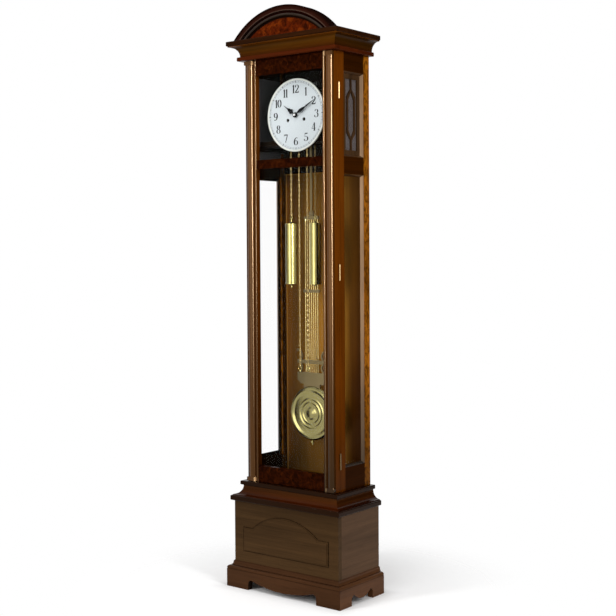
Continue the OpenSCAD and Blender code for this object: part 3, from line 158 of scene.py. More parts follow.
class Shader:
    """The nodes of one material or world, made by short calls."""

    def __init__(self, owner):
        owner.use_nodes = True
        self.owner = owner
        self.tree = owner.node_tree
        self.tree.nodes.clear()

    def add(self, kind, inputs=None, **settings):
        """A node with its settings and inputs; an input that is a socket gets a link."""
        node = self.tree.nodes.new("ShaderNode" + kind)
        for key, value in settings.items():
            setattr(node, key, value)
        for key, value in (inputs or {}).items():
            if isinstance(value, bpy.types.NodeSocket):
                self.tree.links.new(value, node.inputs[key])
            else:
                node.inputs[key].default_value = value
        return node

    def math(self, operation, a, b=0.0, c=0.0):
        """One step of arithmetic."""
        return self.add("Math", {0: a, 1: b, 2: c}, operation=operation).outputs[0]

    def mix(self, factor, a, b, blend="MIX"):
        """Colour a turned into b by the factor."""
        node = self.add("Mix", {0: factor, 6: a, 7: b}, data_type="RGBA", blend_type=blend)
        return node.outputs[2]

    def tinted(self, colour, share, where=None):
        """The colour times a share per channel, everywhere or only where the mask is 1."""
        deep = self.mix(1.0, colour, (*share, 1), "MULTIPLY")
        return deep if where is None else self.mix(where, colour, deep)

    def gain(self, colour, share):
        """A colour or vector times one number."""
        return self.add("VectorMath", {0: colour, "Scale": share}, operation="SCALE").outputs[0]

    def weighted(self, *parts):
        """The sum of values, each times its weight."""
        total = 0.0
        for value, weight in reversed(parts):
            total = self.math("MULTIPLY_ADD", value, weight, total)
        return total

    def noise(self, vector, scale, detail=2.0, rough=0.5, distortion=0.0):
        """Clouds; scale is in repeats per metre."""
        node = self.add("TexNoise", {"Vector": vector, "Scale": scale, "Detail": detail,
                                     "Roughness": rough, "Distortion": distortion})
        return node.outputs["Fac"]

    def streaks(self, vector, across, along, detail=2.0, rough=0.5, distortion=0.0):
        """Noise with its own scale along Z, as grain and polishing lines have."""
        return self.noise(self.scaled(vector, across, across, along), 1.0, detail, rough, distortion)

    def ramp(self, value, stops):
        """A colour ramp; stops are (position, colour or grey)."""
        node = self.add("ValToRGB", {"Fac": value})
        ramp = node.color_ramp
        while len(ramp.elements) < len(stops):
            ramp.elements.new(0.5)
        for element, (position, colour) in zip(ramp.elements, stops):
            element.position = position
            element.color = (*colour, 1.0) if isinstance(colour, tuple) else (colour, colour, colour, 1.0)
        return node.outputs["Color"]

    def scaled(self, vector, x, y, z):
        """A vector with each axis times a scale of its own."""
        return self.add("Mapping", {"Vector": vector, "Scale": (x, y, z)}).outputs["Vector"]

    def bump(self, height, distance):
        """The normal of a surface with this relief; distance is in metres."""
        node = self.add("Bump", {"Height": height, "Distance": distance, "Strength": 1.0})
        return node.outputs["Normal"]

    def surface(self, **inputs):
        """The Principled shader, joined to the output; input names have underscores for spaces."""
        node = self.add("BsdfPrincipled", {key.replace("_", " "): value for key, value in inputs.items()})
        self.output(node.outputs["BSDF"])

    def emission(self, colour, strength=1.0):
        """Light given off by a surface."""
        return self.add("Emission", {"Color": colour, "Strength": strength}).outputs[0]

    def output(self, socket):
        """Join a shader to the material's surface."""
        self.add("OutputMaterial", {"Surface": socket})

    def object_space(self):
        """The place on the object, which is the place in the CAD frame."""
        return self.add("TexCoord").outputs["Object"]

    def axes(self):
        """X, Y and Z of the place on the object."""
        return self.add("SeparateXYZ", {"Vector": self.object_space()}).outputs

    def normal(self):
        """X, Y and Z of the face's own normal."""
        return self.add("SeparateXYZ", {"Vector": self.add("NewGeometry").outputs["True Normal"]}).outputs

    def span(self, value, low, high, to=(0.0, 1.0), smooth=False):
        """The value from low to high turned into the range to, and held at its ends."""
        ends = {"Value": value, "From Min": low, "From Max": high, "To Min": to[0], "To Max": to[1]}
        kind = "SMOOTHSTEP" if smooth else "LINEAR"
        return self.add("MapRange", ends, interpolation_type=kind).outputs[0]

    def height_ramp(self, stops):
        """A ramp along Z; stops are (height in metres, colour or grey)."""
        share = self.math("DIVIDE", self.axes()[2], RAMP_HEIGHT)
        return self.ramp(share, [(z / RAMP_HEIGHT, colour) for z, colour in stops])

    def length(self, a, b):
        """The length of a vector of two parts."""
        squares = self.math("ADD", self.math("POWER", a, 2.0), self.math("POWER", b, 2.0))
        return self.math("SQRT", squares)


def on_side(s):
    """1 on the mouldings' side lengths, 0 on their front length."""
    axes = s.axes()
    out_x = s.math("SUBTRACT", s.math("ABSOLUTE", axes[0]), HALF_W)
    return s.math("GREATER_THAN", out_x, s.math("SUBTRACT", FRONT_Y, axes[1]))


def grain_space(s, grain):
    """Object coordinates turned so that the grain runs along Z; a mitre turns it with the moulding."""
    if grain == "z":
        return s.object_space()
    axes = s.axes()
    along_x = s.add("CombineXYZ", {0: axes[2], 1: axes[1], 2: axes[0]}).outputs[0]
    along_y = s.add("CombineXYZ", {0: axes[2], 1: axes[0], 2: axes[1]}).outputs[0]
    if grain == "mitre":
        return s.add("Mix", {0: on_side(s), 4: along_x, 5: along_y}, data_type="VECTOR").outputs[1]
    return along_x if grain == "x" else along_y


def faces_inward(s):
    """1 on faces that look from either side towards the middle of the case, else 0."""
    return s.math("LESS_THAN", s.math("MULTIPLY", s.axes()[0], s.normal()[0]), INWARD)


def height_glaze(s, colour, low, high, stops):
    """Darken or lighten a moulding along its height: painted shade in its hollows and painted highlights on
    its edges.
    """
    share = s.span(s.axes()[2], low, high)
    node = s.add("VectorMath", {0: colour, 1: s.ramp(share, stops)}, operation="MULTIPLY")
    return s.gain(node.outputs[0], MOULDING_LIGHT_GAIN)


def times(colour, share):
    """A colour with each channel times the same share."""
    return tuple(c * share for c in colour)


def tone_ramp(s, value, mid, spread, low=0.36, high=0.64):
    """From a darker to a lighter tone of one colour, with the colour itself half way."""
    return s.ramp(value, [(low, times(mid, 1 - spread)), (0.50, mid), (high, times(mid, 1 + spread))])


# Materials


def wood(name, grain, mid, spread=0.55, rough=0.2, specular=0.12, tint=(1.0, 0.5, 0.22), far=None,
         inner=0.22, painted_moulding_light=None, painted_side_light=1.0, line=None, front=None, painted_height_shade=None, painted_height_shade_right=False,
         relief=0.00004):
    """Polished wood: broad bands, fine streaks and short dark pores along the grain.

    mid is the mean colour, spread how far its tones lie apart, and far another colour that the wood turns to
    towards the back of the case. Faces that look into the case are darkened to the share inner, as painted
    shade. glaze is (low, high, stops) for height_glaze, which paints shade and highlights along a moulding's
    height, and painted_side_light multiplies the colour of a moulding's side lengths, as painted shade or
    painted light.
    line is the range of |x| with a lighter strip, a painted highlight. front multiplies the colour of faces
    that look forward, as painted shade or a painted highlight. foot is (stops of height and share) of painted
    shade by which the colour deepens along the height, mostly towards the floor, with
    painted_height_shade_right only at +X.
    relief is the depth of the grain in metres.
    """
    s = Shader(bpy.data.materials.new(name))
    v = grain_space(s, grain)
    broad = s.streaks(v, 5, 0.9, detail=3.0, distortion=0.8)
    streak = s.streaks(v, 46, 1.6, detail=5.0, rough=0.6, distortion=0.5)
    fine = s.streaks(v, 330, 7)
    value = s.weighted((broad, 0.55), (streak, 0.35), (fine, 0.10))
    colour = tone_ramp(s, value, mid, spread)
    if far:
        cloud = s.streaks(s.object_space(), 20, 6, detail=4.0, rough=0.6, distortion=1.0)
        patch = s.math("MULTIPLY_ADD", cloud, 0.06, s.axes()[1])
        curl = s.streaks(s.object_space(), 60, 34, detail=4.0, rough=0.65, distortion=1.2)
        mottle = s.ramp(curl, [(0.40, 0.30), (0.57, 1.0)])
        other = s.mix(0.95, tone_ramp(s, value, far, spread), mottle, "MULTIPLY")
        colour = s.mix(s.span(patch, *STILE_FAR_Y), colour, other)
    pores = s.ramp(s.streaks(v, 900, 26, detail=1.0), [(0.30, 0.7), (0.42, 1.0)])
    colour = s.mix(0.6, colour, pores, "MULTIPLY")
    # Painted shade on faces that look into the case.
    colour = s.tinted(colour, (inner,) * 3, faces_inward(s))
    # Painted shade or painted light on a moulding's side lengths.
    if painted_side_light != 1.0:
        colour = s.tinted(colour, (painted_side_light,) * 3, on_side(s))
    # Painted shade in hollows and painted highlights on edges, along the height.
    if painted_moulding_light:
        colour = height_glaze(s, colour, *painted_moulding_light)
    # Painted shade or a painted highlight on faces that look forward.
    if front:
        colour = s.tinted(colour, front, s.math("LESS_THAN", s.normal()[1], FORWARD))
    # Painted shade along the height, on +X only when asked.
    if painted_height_shade:
        deep = s.mix(1.0, colour, s.height_ramp(painted_height_shade), "MULTIPLY")
        colour = s.mix(s.math("GREATER_THAN", s.axes()[0], 0.0), colour, deep) if painted_height_shade_right else deep
    # A lighter strip across |x|: a painted highlight.
    if line:
        across = s.math("ABSOLUTE", s.axes()[0])
        on_painted_highlight = s.math("COMPARE", across, sum(line) / 2, (line[1] - line[0]) / 2)
        colour = s.tinted(colour, BEAD_HIGHLIGHT_GAIN, on_painted_highlight)
    roughness = s.math("MULTIPLY_ADD", streak, 0.10, rough - 0.05)
    s.surface(Base_Color=colour, Roughness=roughness, Specular_IOR_Level=specular,
              Specular_Tint=(*tint, 1), Normal=s.bump(fine, relief))
    return s.owner


def burl_wood(name, mid, fleck, scale=34, spread=0.6, specular=0.1):
    """Burl veneer: swirled clouds with flecks of a brighter colour and dark eyes."""
    s = Shader(bpy.data.materials.new(name))
    v = s.object_space()
    warp = s.add("TexNoise", {"Vector": v, "Scale": 22.0, "Detail": 3.0}).outputs["Color"]
    bent = s.add("VectorMath", {0: v, 1: s.gain(warp, 0.035)}, operation="ADD").outputs[0]
    cloud = s.noise(bent, scale, 5.0, 0.65, 1.4)
    eyes = s.add("TexVoronoi", {"Vector": bent, "Scale": 95.0}).outputs["Distance"]
    value = s.weighted((cloud, 0.80), (eyes, 0.25))
    colour = tone_ramp(s, value, mid, spread, high=0.62)
    flecks = s.noise(bent, scale * 1.7, 3.0, 0.6, 0.8)
    colour = s.mix(s.ramp(flecks, [(0.52, 0.0), (0.66, 0.8)]), colour, (*fleck, 1))
    spots = s.ramp(eyes, [(0.06, 0.35), (0.2, 1.0)])
    colour = s.mix(0.5, colour, spots, "MULTIPLY")
    s.surface(Base_Color=colour, Roughness=0.2, Specular_IOR_Level=specular,
              Specular_Tint=(1.0, 0.5, 0.22, 1), Normal=s.bump(cloud, 0.00005))
    return s.owner


def metal(name, colour, rough, brushed=0.0, grain=(400, 12), relief=0.00002, tips=None, fade=None):
    """Polished metal with a faint tarnish and fine polishing lines.

    brushed is how much the lines change the roughness, and grain their scale across and along. tips is
    (y, colour) for what stands in front of y. fade is (stops of height and share) of painted shade by which
    the colour deepens towards the floor. relief is the depth of the lines in metres.
    """
    s = Shader(bpy.data.materials.new(name))
    v = s.object_space()
    stain = s.noise(v, 28.0, 3.0, 0.6)
    lines = s.streaks(v, *grain)
    tint = s.mix(s.ramp(stain, [(0.35, 0.0), (0.7, 0.35)]), (*colour, 1), (*times(colour, 0.72), 1))
    if tips:
        tint = s.mix(s.math("LESS_THAN", s.axes()[1], tips[0]), tint, (*tips[1], 1))
    # Painted shade towards the floor.
    if fade:
        tint = s.mix(1.0, tint, s.height_ramp(fade), "MULTIPLY")
    roughness = s.math("MULTIPLY_ADD", lines, brushed, rough)
    s.surface(Base_Color=tint, Metallic=1.0, Roughness=roughness, Normal=s.bump(lines, relief))
    return s.owner


def pane_glass(name, tint, amount):
    """Clear thin glass: see-through, with a weak mirror of the given amount."""
    s = Shader(bpy.data.materials.new(name))
    s.surface(Base_Color=(*tint, 1), Metallic=1.0, Roughness=0.02, Alpha=amount)
    s.owner.surface_render_method = "BLENDED"
    return s.owner


def woven_cloth(name, dark, light):
    """Plain weave from two crossed waves, with uneven threads."""
    s = Shader(bpy.data.materials.new(name))
    axes = s.axes()
    warp = s.math("SINE", s.math("MULTIPLY", axes[1], CLOTH_WAVES))
    weft = s.math("SINE", s.math("MULTIPLY", axes[2], CLOTH_WAVES))
    weave = s.math("MULTIPLY", warp, weft)
    slub = s.noise(s.scaled(s.object_space(), 60, 500, 60), 1.0, 3.0)
    value = s.math("MULTIPLY_ADD", weave, 0.18, slub)
    colour = s.ramp(value, [(0.3, dark), (0.7, light)])
    # Faces that look into the case are painted near black, as shade inside the case.
    colour = s.mix(faces_inward(s), colour, (0.006, 0.005, 0.005, 1))
    s.surface(Base_Color=colour, Roughness=0.95, Specular_IOR_Level=0.1, Sheen_Weight=0.3,
              Normal=s.bump(weave, 0.0003))
    return s.owner


def enamel(name, face, rim, rim_start):
    """White dial enamel with a cream rim."""
    s = Shader(bpy.data.materials.new(name))
    axes = s.axes()
    radius = s.length(axes[0], s.math("SUBTRACT", axes[2], DIAL_Z))
    on_rim = s.math("GREATER_THAN", radius, rim_start)
    cloud = s.noise(s.object_space(), 14.0, 2.0)
    white = s.mix(cloud, (*face, 1), (*times(face, 0.97), 1))
    s.surface(Base_Color=s.mix(on_rim, white, (*rim, 1)), Roughness=0.35, Specular_IOR_Level=0.3)
    return s.owner


def paint(name, colour, rough, specular=0.1, variation=0.12):
    """A dark paint or lacquer with a faint variation of its colour."""
    s = Shader(bpy.data.materials.new(name))
    cloud = s.noise(s.object_space(), 60.0, 4.0)
    tint = s.mix(cloud, (*times(colour, 1 - variation), 1), (*times(colour, 1 + variation), 1))
    s.surface(Base_Color=tint, Roughness=rough, Metallic=0.0, Specular_IOR_Level=specular)
    return s.owner


def back_veneer(name, mid, margin, dark_board_and_painted_shade):
    """The back boards: a golden veneered panel with a light line around it, in darker margins.

    The panel darkens towards its sides, the floor and its top, and behind the right weight, all painted
    shade.
    Above it the boards are near black, a dark board and painted shade in the hood together, and their outer
    face is plain.
    """
    s = Shader(bpy.data.materials.new(name))
    place = s.axes()
    broad = s.streaks(s.object_space(), 7, 0.8, detail=3.0, distortion=0.6)
    streak = s.streaks(s.object_space(), 60, 2.0, detail=5.0, rough=0.6, distortion=0.4)
    value = s.weighted((broad, 0.6), (streak, 0.4))
    colour = tone_ramp(s, value, mid, 0.45, 0.34, 0.66)
    edge = tone_ramp(s, value, margin, 0.40, 0.34, 0.66)
    outer = s.tinted(colour, (0.55, 0.42, 0.40))
    across = s.math("ABSOLUTE", place[0])
    # Painted shade towards the panel's sides.
    colour = s.tinted(colour, (0.55, 0.45, 0.35), s.span(across, *VENEER_SIDE_SHADE_X))
    colour = s.mix(s.math("GREATER_THAN", across, VENEER_HALF_W), colour, edge)
    # Painted shade low and high on the panel.
    veneer_painted_shade = s.height_ramp([(0.4, 0.42), (0.62, 0.62), (0.84, 1.0), (1.0, 0.95), (1.28, 0.62)])
    colour = s.mix(1.0, colour, veneer_painted_shade, "MULTIPLY")
    # Painted shade behind the right weight, deepest low down.
    low = s.span(place[2], VENEER_SHADE_Z[1], VENEER_SHADE_Z[0], to=(0.5, 1.0))
    shade = s.math("MULTIPLY", low, s.span(place[0], *VENEER_SHADE_X))
    colour = s.gain(s.tinted(colour, (0.34, 0.24, 0.12), shade), VENEER_GAIN)
    colour = s.mix(s.math("COMPARE", across, VENEER_HALF_W, VENEER_LINE), colour, (*times(mid, 1.9), 1))
    # Near black above the panel: a dark board and painted shade in the hood together.
    colour = s.mix(s.math("GREATER_THAN", place[2], VENEER_TOP_Z), colour, (*dark_board_and_painted_shade, 1))
    colour = s.mix(s.math("COMPARE", place[2], VENEER_TOP_Z, VENEER_LINE), colour, (*times(mid, 1.5), 1))
    colour = s.mix(s.math("GREATER_THAN", s.normal()[1], BACKWARD), colour, outer)
    s.surface(Base_Color=colour, Roughness=0.3, Specular_IOR_Level=0.08, Specular_Tint=(1.0, 0.6, 0.3, 1))
    return s.owner


def arch_wood(name, stops):
    """The pediment's moulding: painted shade in its grooves and painted highlights on its beads, by the way
    in from its rim.
    """
    s = Shader(bpy.data.materials.new(name))
    axes = s.axes()
    radius = s.length(axes[0], s.math("SUBTRACT", axes[2], ARCH_CENTRE_Z))
    inset = s.math("DIVIDE", s.math("SUBTRACT", ARCH_R, radius), ARCH_BAND)
    streak = s.streaks(grain_space(s, "x"), 46, 3, detail=5.0, rough=0.6, distortion=0.5)
    shade = s.ramp(streak, [(0.3, 0.65), (0.7, 1.0)])
    colour = s.mix(1.0, s.ramp(inset, stops), shade, "MULTIPLY")
    s.surface(Base_Color=colour, Roughness=0.4, Specular_IOR_Level=0.0)
    return s.owner


def make_materials():
    """Every material under the key that MATERIAL_NODES uses."""
    # Painted shade low in the cornice's cove and a painted highlight along its top edge.
    cornice_painted_light = (*CORNICE_Z, [
        (0.0, (0.35, 0.30, 0.3)), (0.15, (0.5, 0.45, 0.4)), (0.6, (0.62, 0.75, 0.5)),
        (0.86, (0.5, 0.6, 0.6)), (0.93, (1.0, 1.0, 1.0)), (1.0, (0.9, 0.9, 0.95))])
    # Painted shade low in the waist's cove and a painted highlight near its top edge.
    waist_painted_light = (*WAIST_Z, [
        (0.0, (0.12, 0.08, 0.05)), (0.12, (0.30, 0.17, 0.10)), (0.3, (0.40, 0.28, 0.20)),
        (0.6, (0.5, 0.42, 0.36)), (0.85, (0.65, 0.65, 0.7)), (1.0, (0.3, 0.27, 0.25))])
    # Painted shade in the arch's grooves and painted highlights on its beads, by the way in from the rim.
    arch_painted_light = [
        (0.0, (0.008, 0.003, 0.002)), (0.09, (0.016, 0.004, 0.002)), (0.12, (0.022, 0.0055, 0.003)),
        (0.36, (0.030, 0.0085, 0.005)), (0.44, (0.085, 0.050, 0.035)), (0.47, (0.02, 0.003, 0.001)),
        (0.65, (0.014, 0.002, 0.001)), (0.68, (0.050, 0.037, 0.030)), (0.82, (0.026, 0.017, 0.011)),
        (0.87, (0.012, 0.004, 0.002))]
    # Painted shade that deepens the uprights towards the floor.
    stile_painted_shade = [(0.4, 0.5), (0.75, 0.95)]
    return {
        "stile": wood("walnut_upright", "z", (0.125, 0.030, 0.001), far=(0.40, 0.127, 0.007), specular=0.03,
                      painted_height_shade=stile_painted_shade),
        # Its forward faces are darkened as painted shade, and painted shade deepens it towards the floor.
        "door_stile": wood("walnut_door_stile", "z", (0.125, 0.030, 0.001), specular=0.03, inner=0.8,
                           front=(0.42, 0.5, 0.9), painted_height_shade=stile_painted_shade),
        # A painted highlight on the strip of its beads, and painted shade towards the floor on the right
        # column.
        "column": wood("walnut_column", "z", (0.080, 0.030, 0.007), rough=0.15, specular=0.28,
                       tint=(1.0, 0.66, 0.38), inner=0.9, line=BEAD_HIGHLIGHT_X,
                       painted_height_shade=[(0.4, 0.2), (0.75, 0.6), (0.95, 1.0)], painted_height_shade_right=True, relief=0.000004),
        "door_rail": burl_wood("walnut_burl_rail", (0.015, 0.0026, 0.0004), (0.046, 0.009, 0.001),
                               specular=0.01),
        "neck": wood("walnut_neck", "x", (0.062, 0.0105, 0.0018), specular=0.03),
        "crown": wood("walnut_crown", "x", (0.024, 0.0070, 0.0016), specular=0.03),
        "arch": arch_wood("walnut_arch", arch_painted_light),
        # Its side lengths are darkened as painted shade.
        "cornice": wood("walnut_cornice", "mitre", (0.066, 0.0185, 0.0013), specular=0.03,
                        painted_moulding_light=cornice_painted_light, painted_side_light=0.42),
        "waist": wood("walnut_waist", "mitre", (0.040, 0.0115, 0.0015), specular=0.08,
                      painted_moulding_light=waist_painted_light),
        "waist_board": wood("walnut_waist_board", "x", (0.008, 0.0022, 0.0005), specular=0.10),
        "side_rail": wood("walnut_side_rail", "y", (0.027, 0.0065, 0.0003), specular=0.01),
        # Its forward faces are lightened many times as a painted highlight, which fades towards the floor.
        "bead": wood("walnut_bead", "z", (0.055, 0.020, 0.004), specular=0.3, tint=(1.0, 0.86, 0.7),
                     front=(7.0, 11.0, 28.0), painted_height_shade=[(0.45, 0.15), (0.65, 0.4), (1.0, 1.0)]),
        "fret": wood("sandy_fret", "z", (0.070, 0.034, 0.014), rough=0.35, specular=0.03),
        # Painted shade at the top of the base, under the waist.
        "base_front": wood("walnut_base_front", "x", (0.053, 0.0275, 0.0105), spread=0.45, specular=0.06,
                           painted_height_shade=[(0.13, 1.0), (0.24, 1.0), (0.30, 0.7)]),
        # A lighter copy of the base wood: the sides' colour holds painted light.
        "base_side": wood("walnut_base_side_painted_light", "y", (0.097, 0.052, 0.027), spread=0.35, specular=0.06),
        # Its side lengths are lightened as painted light.
        "plinth": wood("walnut_plinth", "mitre", (0.043, 0.017, 0.0065), spread=0.4, specular=0.10,
                       painted_side_light=1.9),
        "floor": wood("walnut_inside", "x", (0.05, 0.02, 0.005)),
        "back": back_veneer("walnut_back", (0.17, 0.076, 0.010), (0.028, 0.009, 0.001),
                            (0.006, 0.004, 0.003)),
        "tympanum": burl_wood("walnut_burl_arch", (0.052, 0.0062, 0.0006), (0.15, 0.024, 0.002), scale=26,
                              specular=0.02),
        "seat": wood("dark_pine_seat", "x", (0.012, 0.007, 0.004), rough=0.5, specular=0.03),
        "cloth": woven_cloth("sound_cloth_weave", (0.045, 0.029, 0.027), (0.095, 0.064, 0.060)),
        "glass": pane_glass("clear_pane", (0.30, 0.34, 0.33), 0.008),
        "dial": enamel("dial_enamel", (0.635, 0.69, 0.71), (0.72, 0.74, 0.68), DIAL_RIM_R),
        "ink": paint("black_ink", (0.008, 0.008, 0.010), 0.5),
        "hands": paint("black_hand_lacquer", (0.003, 0.003, 0.004), 0.3),
        "steel": metal("polished_steel", (0.45, 0.45, 0.46), 0.22, 0.1),
        "brass": metal("polished_brass", (0.36, 0.31, 0.11), 0.12, 0.06, relief=0.000004),
        "brass_rods": metal("rod_brass", (0.62, 0.52, 0.22), 0.14, relief=0.0),
        # The hinges darken towards the floor, as painted shade.
        "brass_hinge": metal("hinge_brass", (0.26, 0.165, 0.075), 0.4,
                             fade=[(0.5, 0.25), (1.2, 0.6), (1.6, 1.0)]),
        "brass_bob": metal("bob_brass", (0.31, 0.272, 0.11), 0.18, 0.06),
        "brass_lyre": metal("lyre_brass", (0.21, 0.16, 0.075), 0.3, 0.1),
        "brass_chain": metal("chain_brass", (0.31, 0.225, 0.085), 0.3, 0.05, (200, 200)),
        # The movement's brass is darkened as painted shade behind the dial.
        "brass_painted_shade": metal("movement_brass_painted_shade", (0.10, 0.07, 0.03), 0.35, 0.1,
                            tips=(-0.030, (0.8, 0.8, 0.8))),
        # The chain wheels' front ends, seen through the dial's winding holes, are painted near black as shade
        # in the holes.
        "chain_wheel": metal("chain_wheel_brass", (0.20, 0.14, 0.06), 0.35, 0.1,
                             tips=(-0.020, (0.004, 0.004, 0.004))),
    }


# Which nodes have which material
MATERIAL_NODES = {
    "stile": "trunk_stiles",
    "door_stile": "door_stiles",
    "column": "door_columns",
    "door_rail": "door_rails",
    "neck": "neck_board",
    "crown": "crown_board",
    "arch": "pediment_arch",
    "cornice": "cornice_cove_moulding",
    "waist": "waist_cove_moulding",
    "waist_board": "waist_lower_board trunk_floor_board",
    "side_rail": "side_rails",
    "bead": "side_window_beads",
    "fret": "side_frets",
    "base_front": "base_front_panel",
    "base_side": "base_side_panels",
    "plinth": "plinth_front plinth_sides",
    "floor": "base_floor_board",
    "back": "back_boards",
    "tympanum": "pediment_tympanum",
    "seat": "seat_board seat_cleats",
    "cloth": "sound_cloth_panels",
    "glass": "side_window_glasses door_glasses",
    "dial": "dial",
    "hands": "minute_hand hour_hand",
    "steel": "suspension_spring strike_hammer anchor_and_crutch",
    "brass_painted_shade": """movement_plates movement_pillars back_cock gong_bell strike_great_wheel centre_arbor
        hour_wheel minute_wheel time_great_wheel third_wheel escape_wheel""",
    "chain_wheel": "left_chain_wheel right_chain_wheel",
    "brass": "left_weight right_weight left_chain_ring right_chain_ring rating_nut",
    "brass_rods": "pendulum_rods",
    "brass_hinge": "hinge_case_leaves hinge_door_leaves hinge_pins",
    "brass_bob": "pendulum_bob",
    "brass_lyre": "pendulum_lyre",
    "brass_chain": "left_weight_chain right_weight_chain left_free_chain right_free_chain",
}


def dress_nodes(materials):
    """Give every CAD node its one material."""
    dressed = set()
    for key, names in MATERIAL_NODES.items():
        for name in names.split():
            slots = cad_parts[name].data.materials
            slots.clear()
            slots.append(materials[key])
            dressed.add(name)
    missing = set(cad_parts) - dressed
    assert not missing, missing


# Mesh helpers


def make_object(name, bm, material, smooth=False):
    """A new object from a bmesh."""
    mesh = bpy.data.meshes.new(name)
    bm.to_mesh(mesh)
    bm.free()
    mesh.materials.append(material)
    if smooth:
        for face in mesh.polygons:
            face.use_smooth = True
    obj = bpy.data.objects.new(name, mesh)
    bpy.context.scene.collection.objects.link(obj)
    return obj


def on_circle(radius, steps):
    """Points (u, w) evenly round a circle."""
    turns = [2 * math.pi * k / steps for k in range(steps)]
    return [(radius * math.cos(a), radius * math.sin(a)) for a in turns]


def join_rings(bm, low, high):
    """Faces between two rings of as many points."""
    for k in range(len(low)):
        n = (k + 1) % len(low)
        bm.faces.new((low[k], low[n], high[n], high[k]))


def lathe(bm, profile, centre, turns=96):
    """Turn a profile of (radius, y) round the Y axis through centre."""
    rings = []
    for radius, y in profile:
        rings.append([bm.verts.new(Vector((u, y, w)) + centre) for u, w in on_circle(radius, turns)])
    for low, high in zip(rings, rings[1:]):
        join_rings(bm, low, high)


def direction(points, i):
    """The way that a path runs at its point i, as (dx, dz) of length 1."""
    ax, az = points[max(i - 1, 0)]
    bx, bz = points[min(i + 1, len(points) - 1)]
    length = math.hypot(bx - ax, bz - az) or 1.0
    return (bx - ax) / length, (bz - az) / length


def ribbon(bm, points, widths, y0, y1):
    """A flat stroke of changing width in the XZ plane, given a thickness from y0 to y1."""
    left, right = [], []
    for i, (x, z) in enumerate(points):
        dx, dz = direction(points, i)
        half = widths[i] / 2
        left.append((x - dz * half, z + dx * half))
        right.append((x + dz * half, z - dx * half))
    outline = left + right[::-1]
    front = [bm.verts.new((x, y0, z)) for x, z in outline]
    back = [bm.verts.new((x, y1, z)) for x, z in outline]
    count = len(outline)
    for i in range(len(points) - 1):
        quad = (i, i + 1, count - 2 - i, count - 1 - i)
        bm.faces.new([front[k] for k in quad])
        bm.faces.new([back[k] for k in reversed(quad)])
    for i in range(count):
        j = (i + 1) % count
        bm.faces.new((front[i], back[i], back[j], front[j]))


# Dial figures


def arc(cx, cz, rx, rz, start, end, steps=18):
    """Points on an ellipse from start to end degrees, anticlockwise from +X."""
    out = []
    for k in range(steps + 1):
        a = math.radians(start + (end - start) * k / steps)
        out.append((cx + rx * math.cos(a), cz + rz * math.sin(a)))
    return out


def stress(points):
    """Stroke widths of a serif figure: thick where the stroke runs upright, thin where it runs across."""
    return [THIN + (THICK - THIN) * direction(points, i)[1] ** 2 for i in range(len(points))]


def curve(points):
    """A stroke of a figure with swelling width."""
    return points, stress(points)


def bar(a, b, width):
    """A straight stroke of a figure."""
    return [a, b], [width, width]


def blob(x, z):
    """The round end of a serif stroke."""
    return [(x - 0.05, z), (x, z), (x + 0.05, z)], [0.04, 0.11, 0.04]


def figure_strokes(digit):
    """Strokes of one figure, as (points, widths), in a box one unit high, centred on x = 0."""
    if digit == "0":
        return [curve(arc(0, 0.5, 0.22, 0.46, 0, 360, 40))]
    if digit == "1":
        return [bar((0, 0.02), (0, 1), THICK), bar((-0.14, 0.0), (0.14, 0.0), 0.05),
                bar((-0.15, 0.83), (0.0, 0.97), 0.05)]
    if digit == "2":
        bow = arc(0, 0.74, 0.21, 0.23, 175, -30, 20) + [(0.06, 0.42), (-0.12, 0.2), (-0.24, 0.07)]
        return [curve(bow), bar((-0.25, 0.06), (0.25, 0.06), 0.13), bar((0.24, 0.03), (0.27, 0.24), 0.05),
                blob(-0.19, 0.72)]
    if digit == "3":
        return [curve(arc(-0.02, 0.76, 0.19, 0.21, 160, -90, 20)),
                curve(arc(-0.03, 0.29, 0.24, 0.27, 90, -165, 22)), blob(-0.18, 0.8), blob(-0.24, 0.24)]
    if digit == "4":
        return [bar((0.09, 0.0), (0.09, 1.0), THICK), bar((0.08, 0.98), (-0.27, 0.3), 0.05),
                bar((-0.28, 0.3), (0.27, 0.3), 0.06), bar((-0.04, 0.02), (0.22, 0.02), 0.05)]
    if digit == "5":
        return [bar((-0.17, 0.94), (0.2, 0.94), 0.12), bar((-0.17, 0.94), (-0.19, 0.5), 0.05),
                curve(arc(-0.04, 0.3, 0.25, 0.28, 125, -160, 24)), blob(-0.24, 0.22)]
    if digit == "6":
        return [curve(arc(0.0, 0.3, 0.21, 0.28, 0, 360, 36)), curve(arc(0.17, 0.34, 0.4, 0.62, 95, 185, 18)),
                blob(0.17, 0.9)]
    if digit == "7":
        return [bar((-0.22, 0.93), (0.25, 0.93), 0.13), bar((0.23, 0.93), (-0.03, 0.0), 0.11),
                bar((-0.23, 0.97), (-0.24, 0.74), 0.05)]
    if digit == "8":
        return [curve(arc(0, 0.76, 0.17, 0.22, 0, 360, 32)), curve(arc(0, 0.27, 0.22, 0.25, 0, 360, 36))]
    return [curve(arc(0.0, 0.68, 0.21, 0.28, 0, 360, 36)), curve(arc(-0.17, 0.64, 0.4, 0.62, -85, 5, 18)),
            blob(-0.17, 0.1)]


def add_numeral(bm, hour):
    """One hour's figures, upright and centred at their place on the dial."""
    a = math.radians(90 - 30 * hour)
    cx, cz = NUMERAL_R * math.cos(a), DIAL_Z + NUMERAL_R * math.sin(a)
    digits = str(hour)
    widths = [FIGURE_PITCH.get(digit, USUAL_PITCH) for digit in digits]
    x = -sum(widths) / 2
    for digit, width in zip(digits, widths):
        for points, stroke in figure_strokes(digit):
            placed = [(cx + (x + width / 2 + px) * FIGURE_WIDEN * NUMERAL_H, cz + (pz - 0.5) * NUMERAL_H)
                      for px, pz in points]
            ribbon(bm, placed, [w * NUMERAL_H for w in stroke], *PRINT_Y)
        x += width


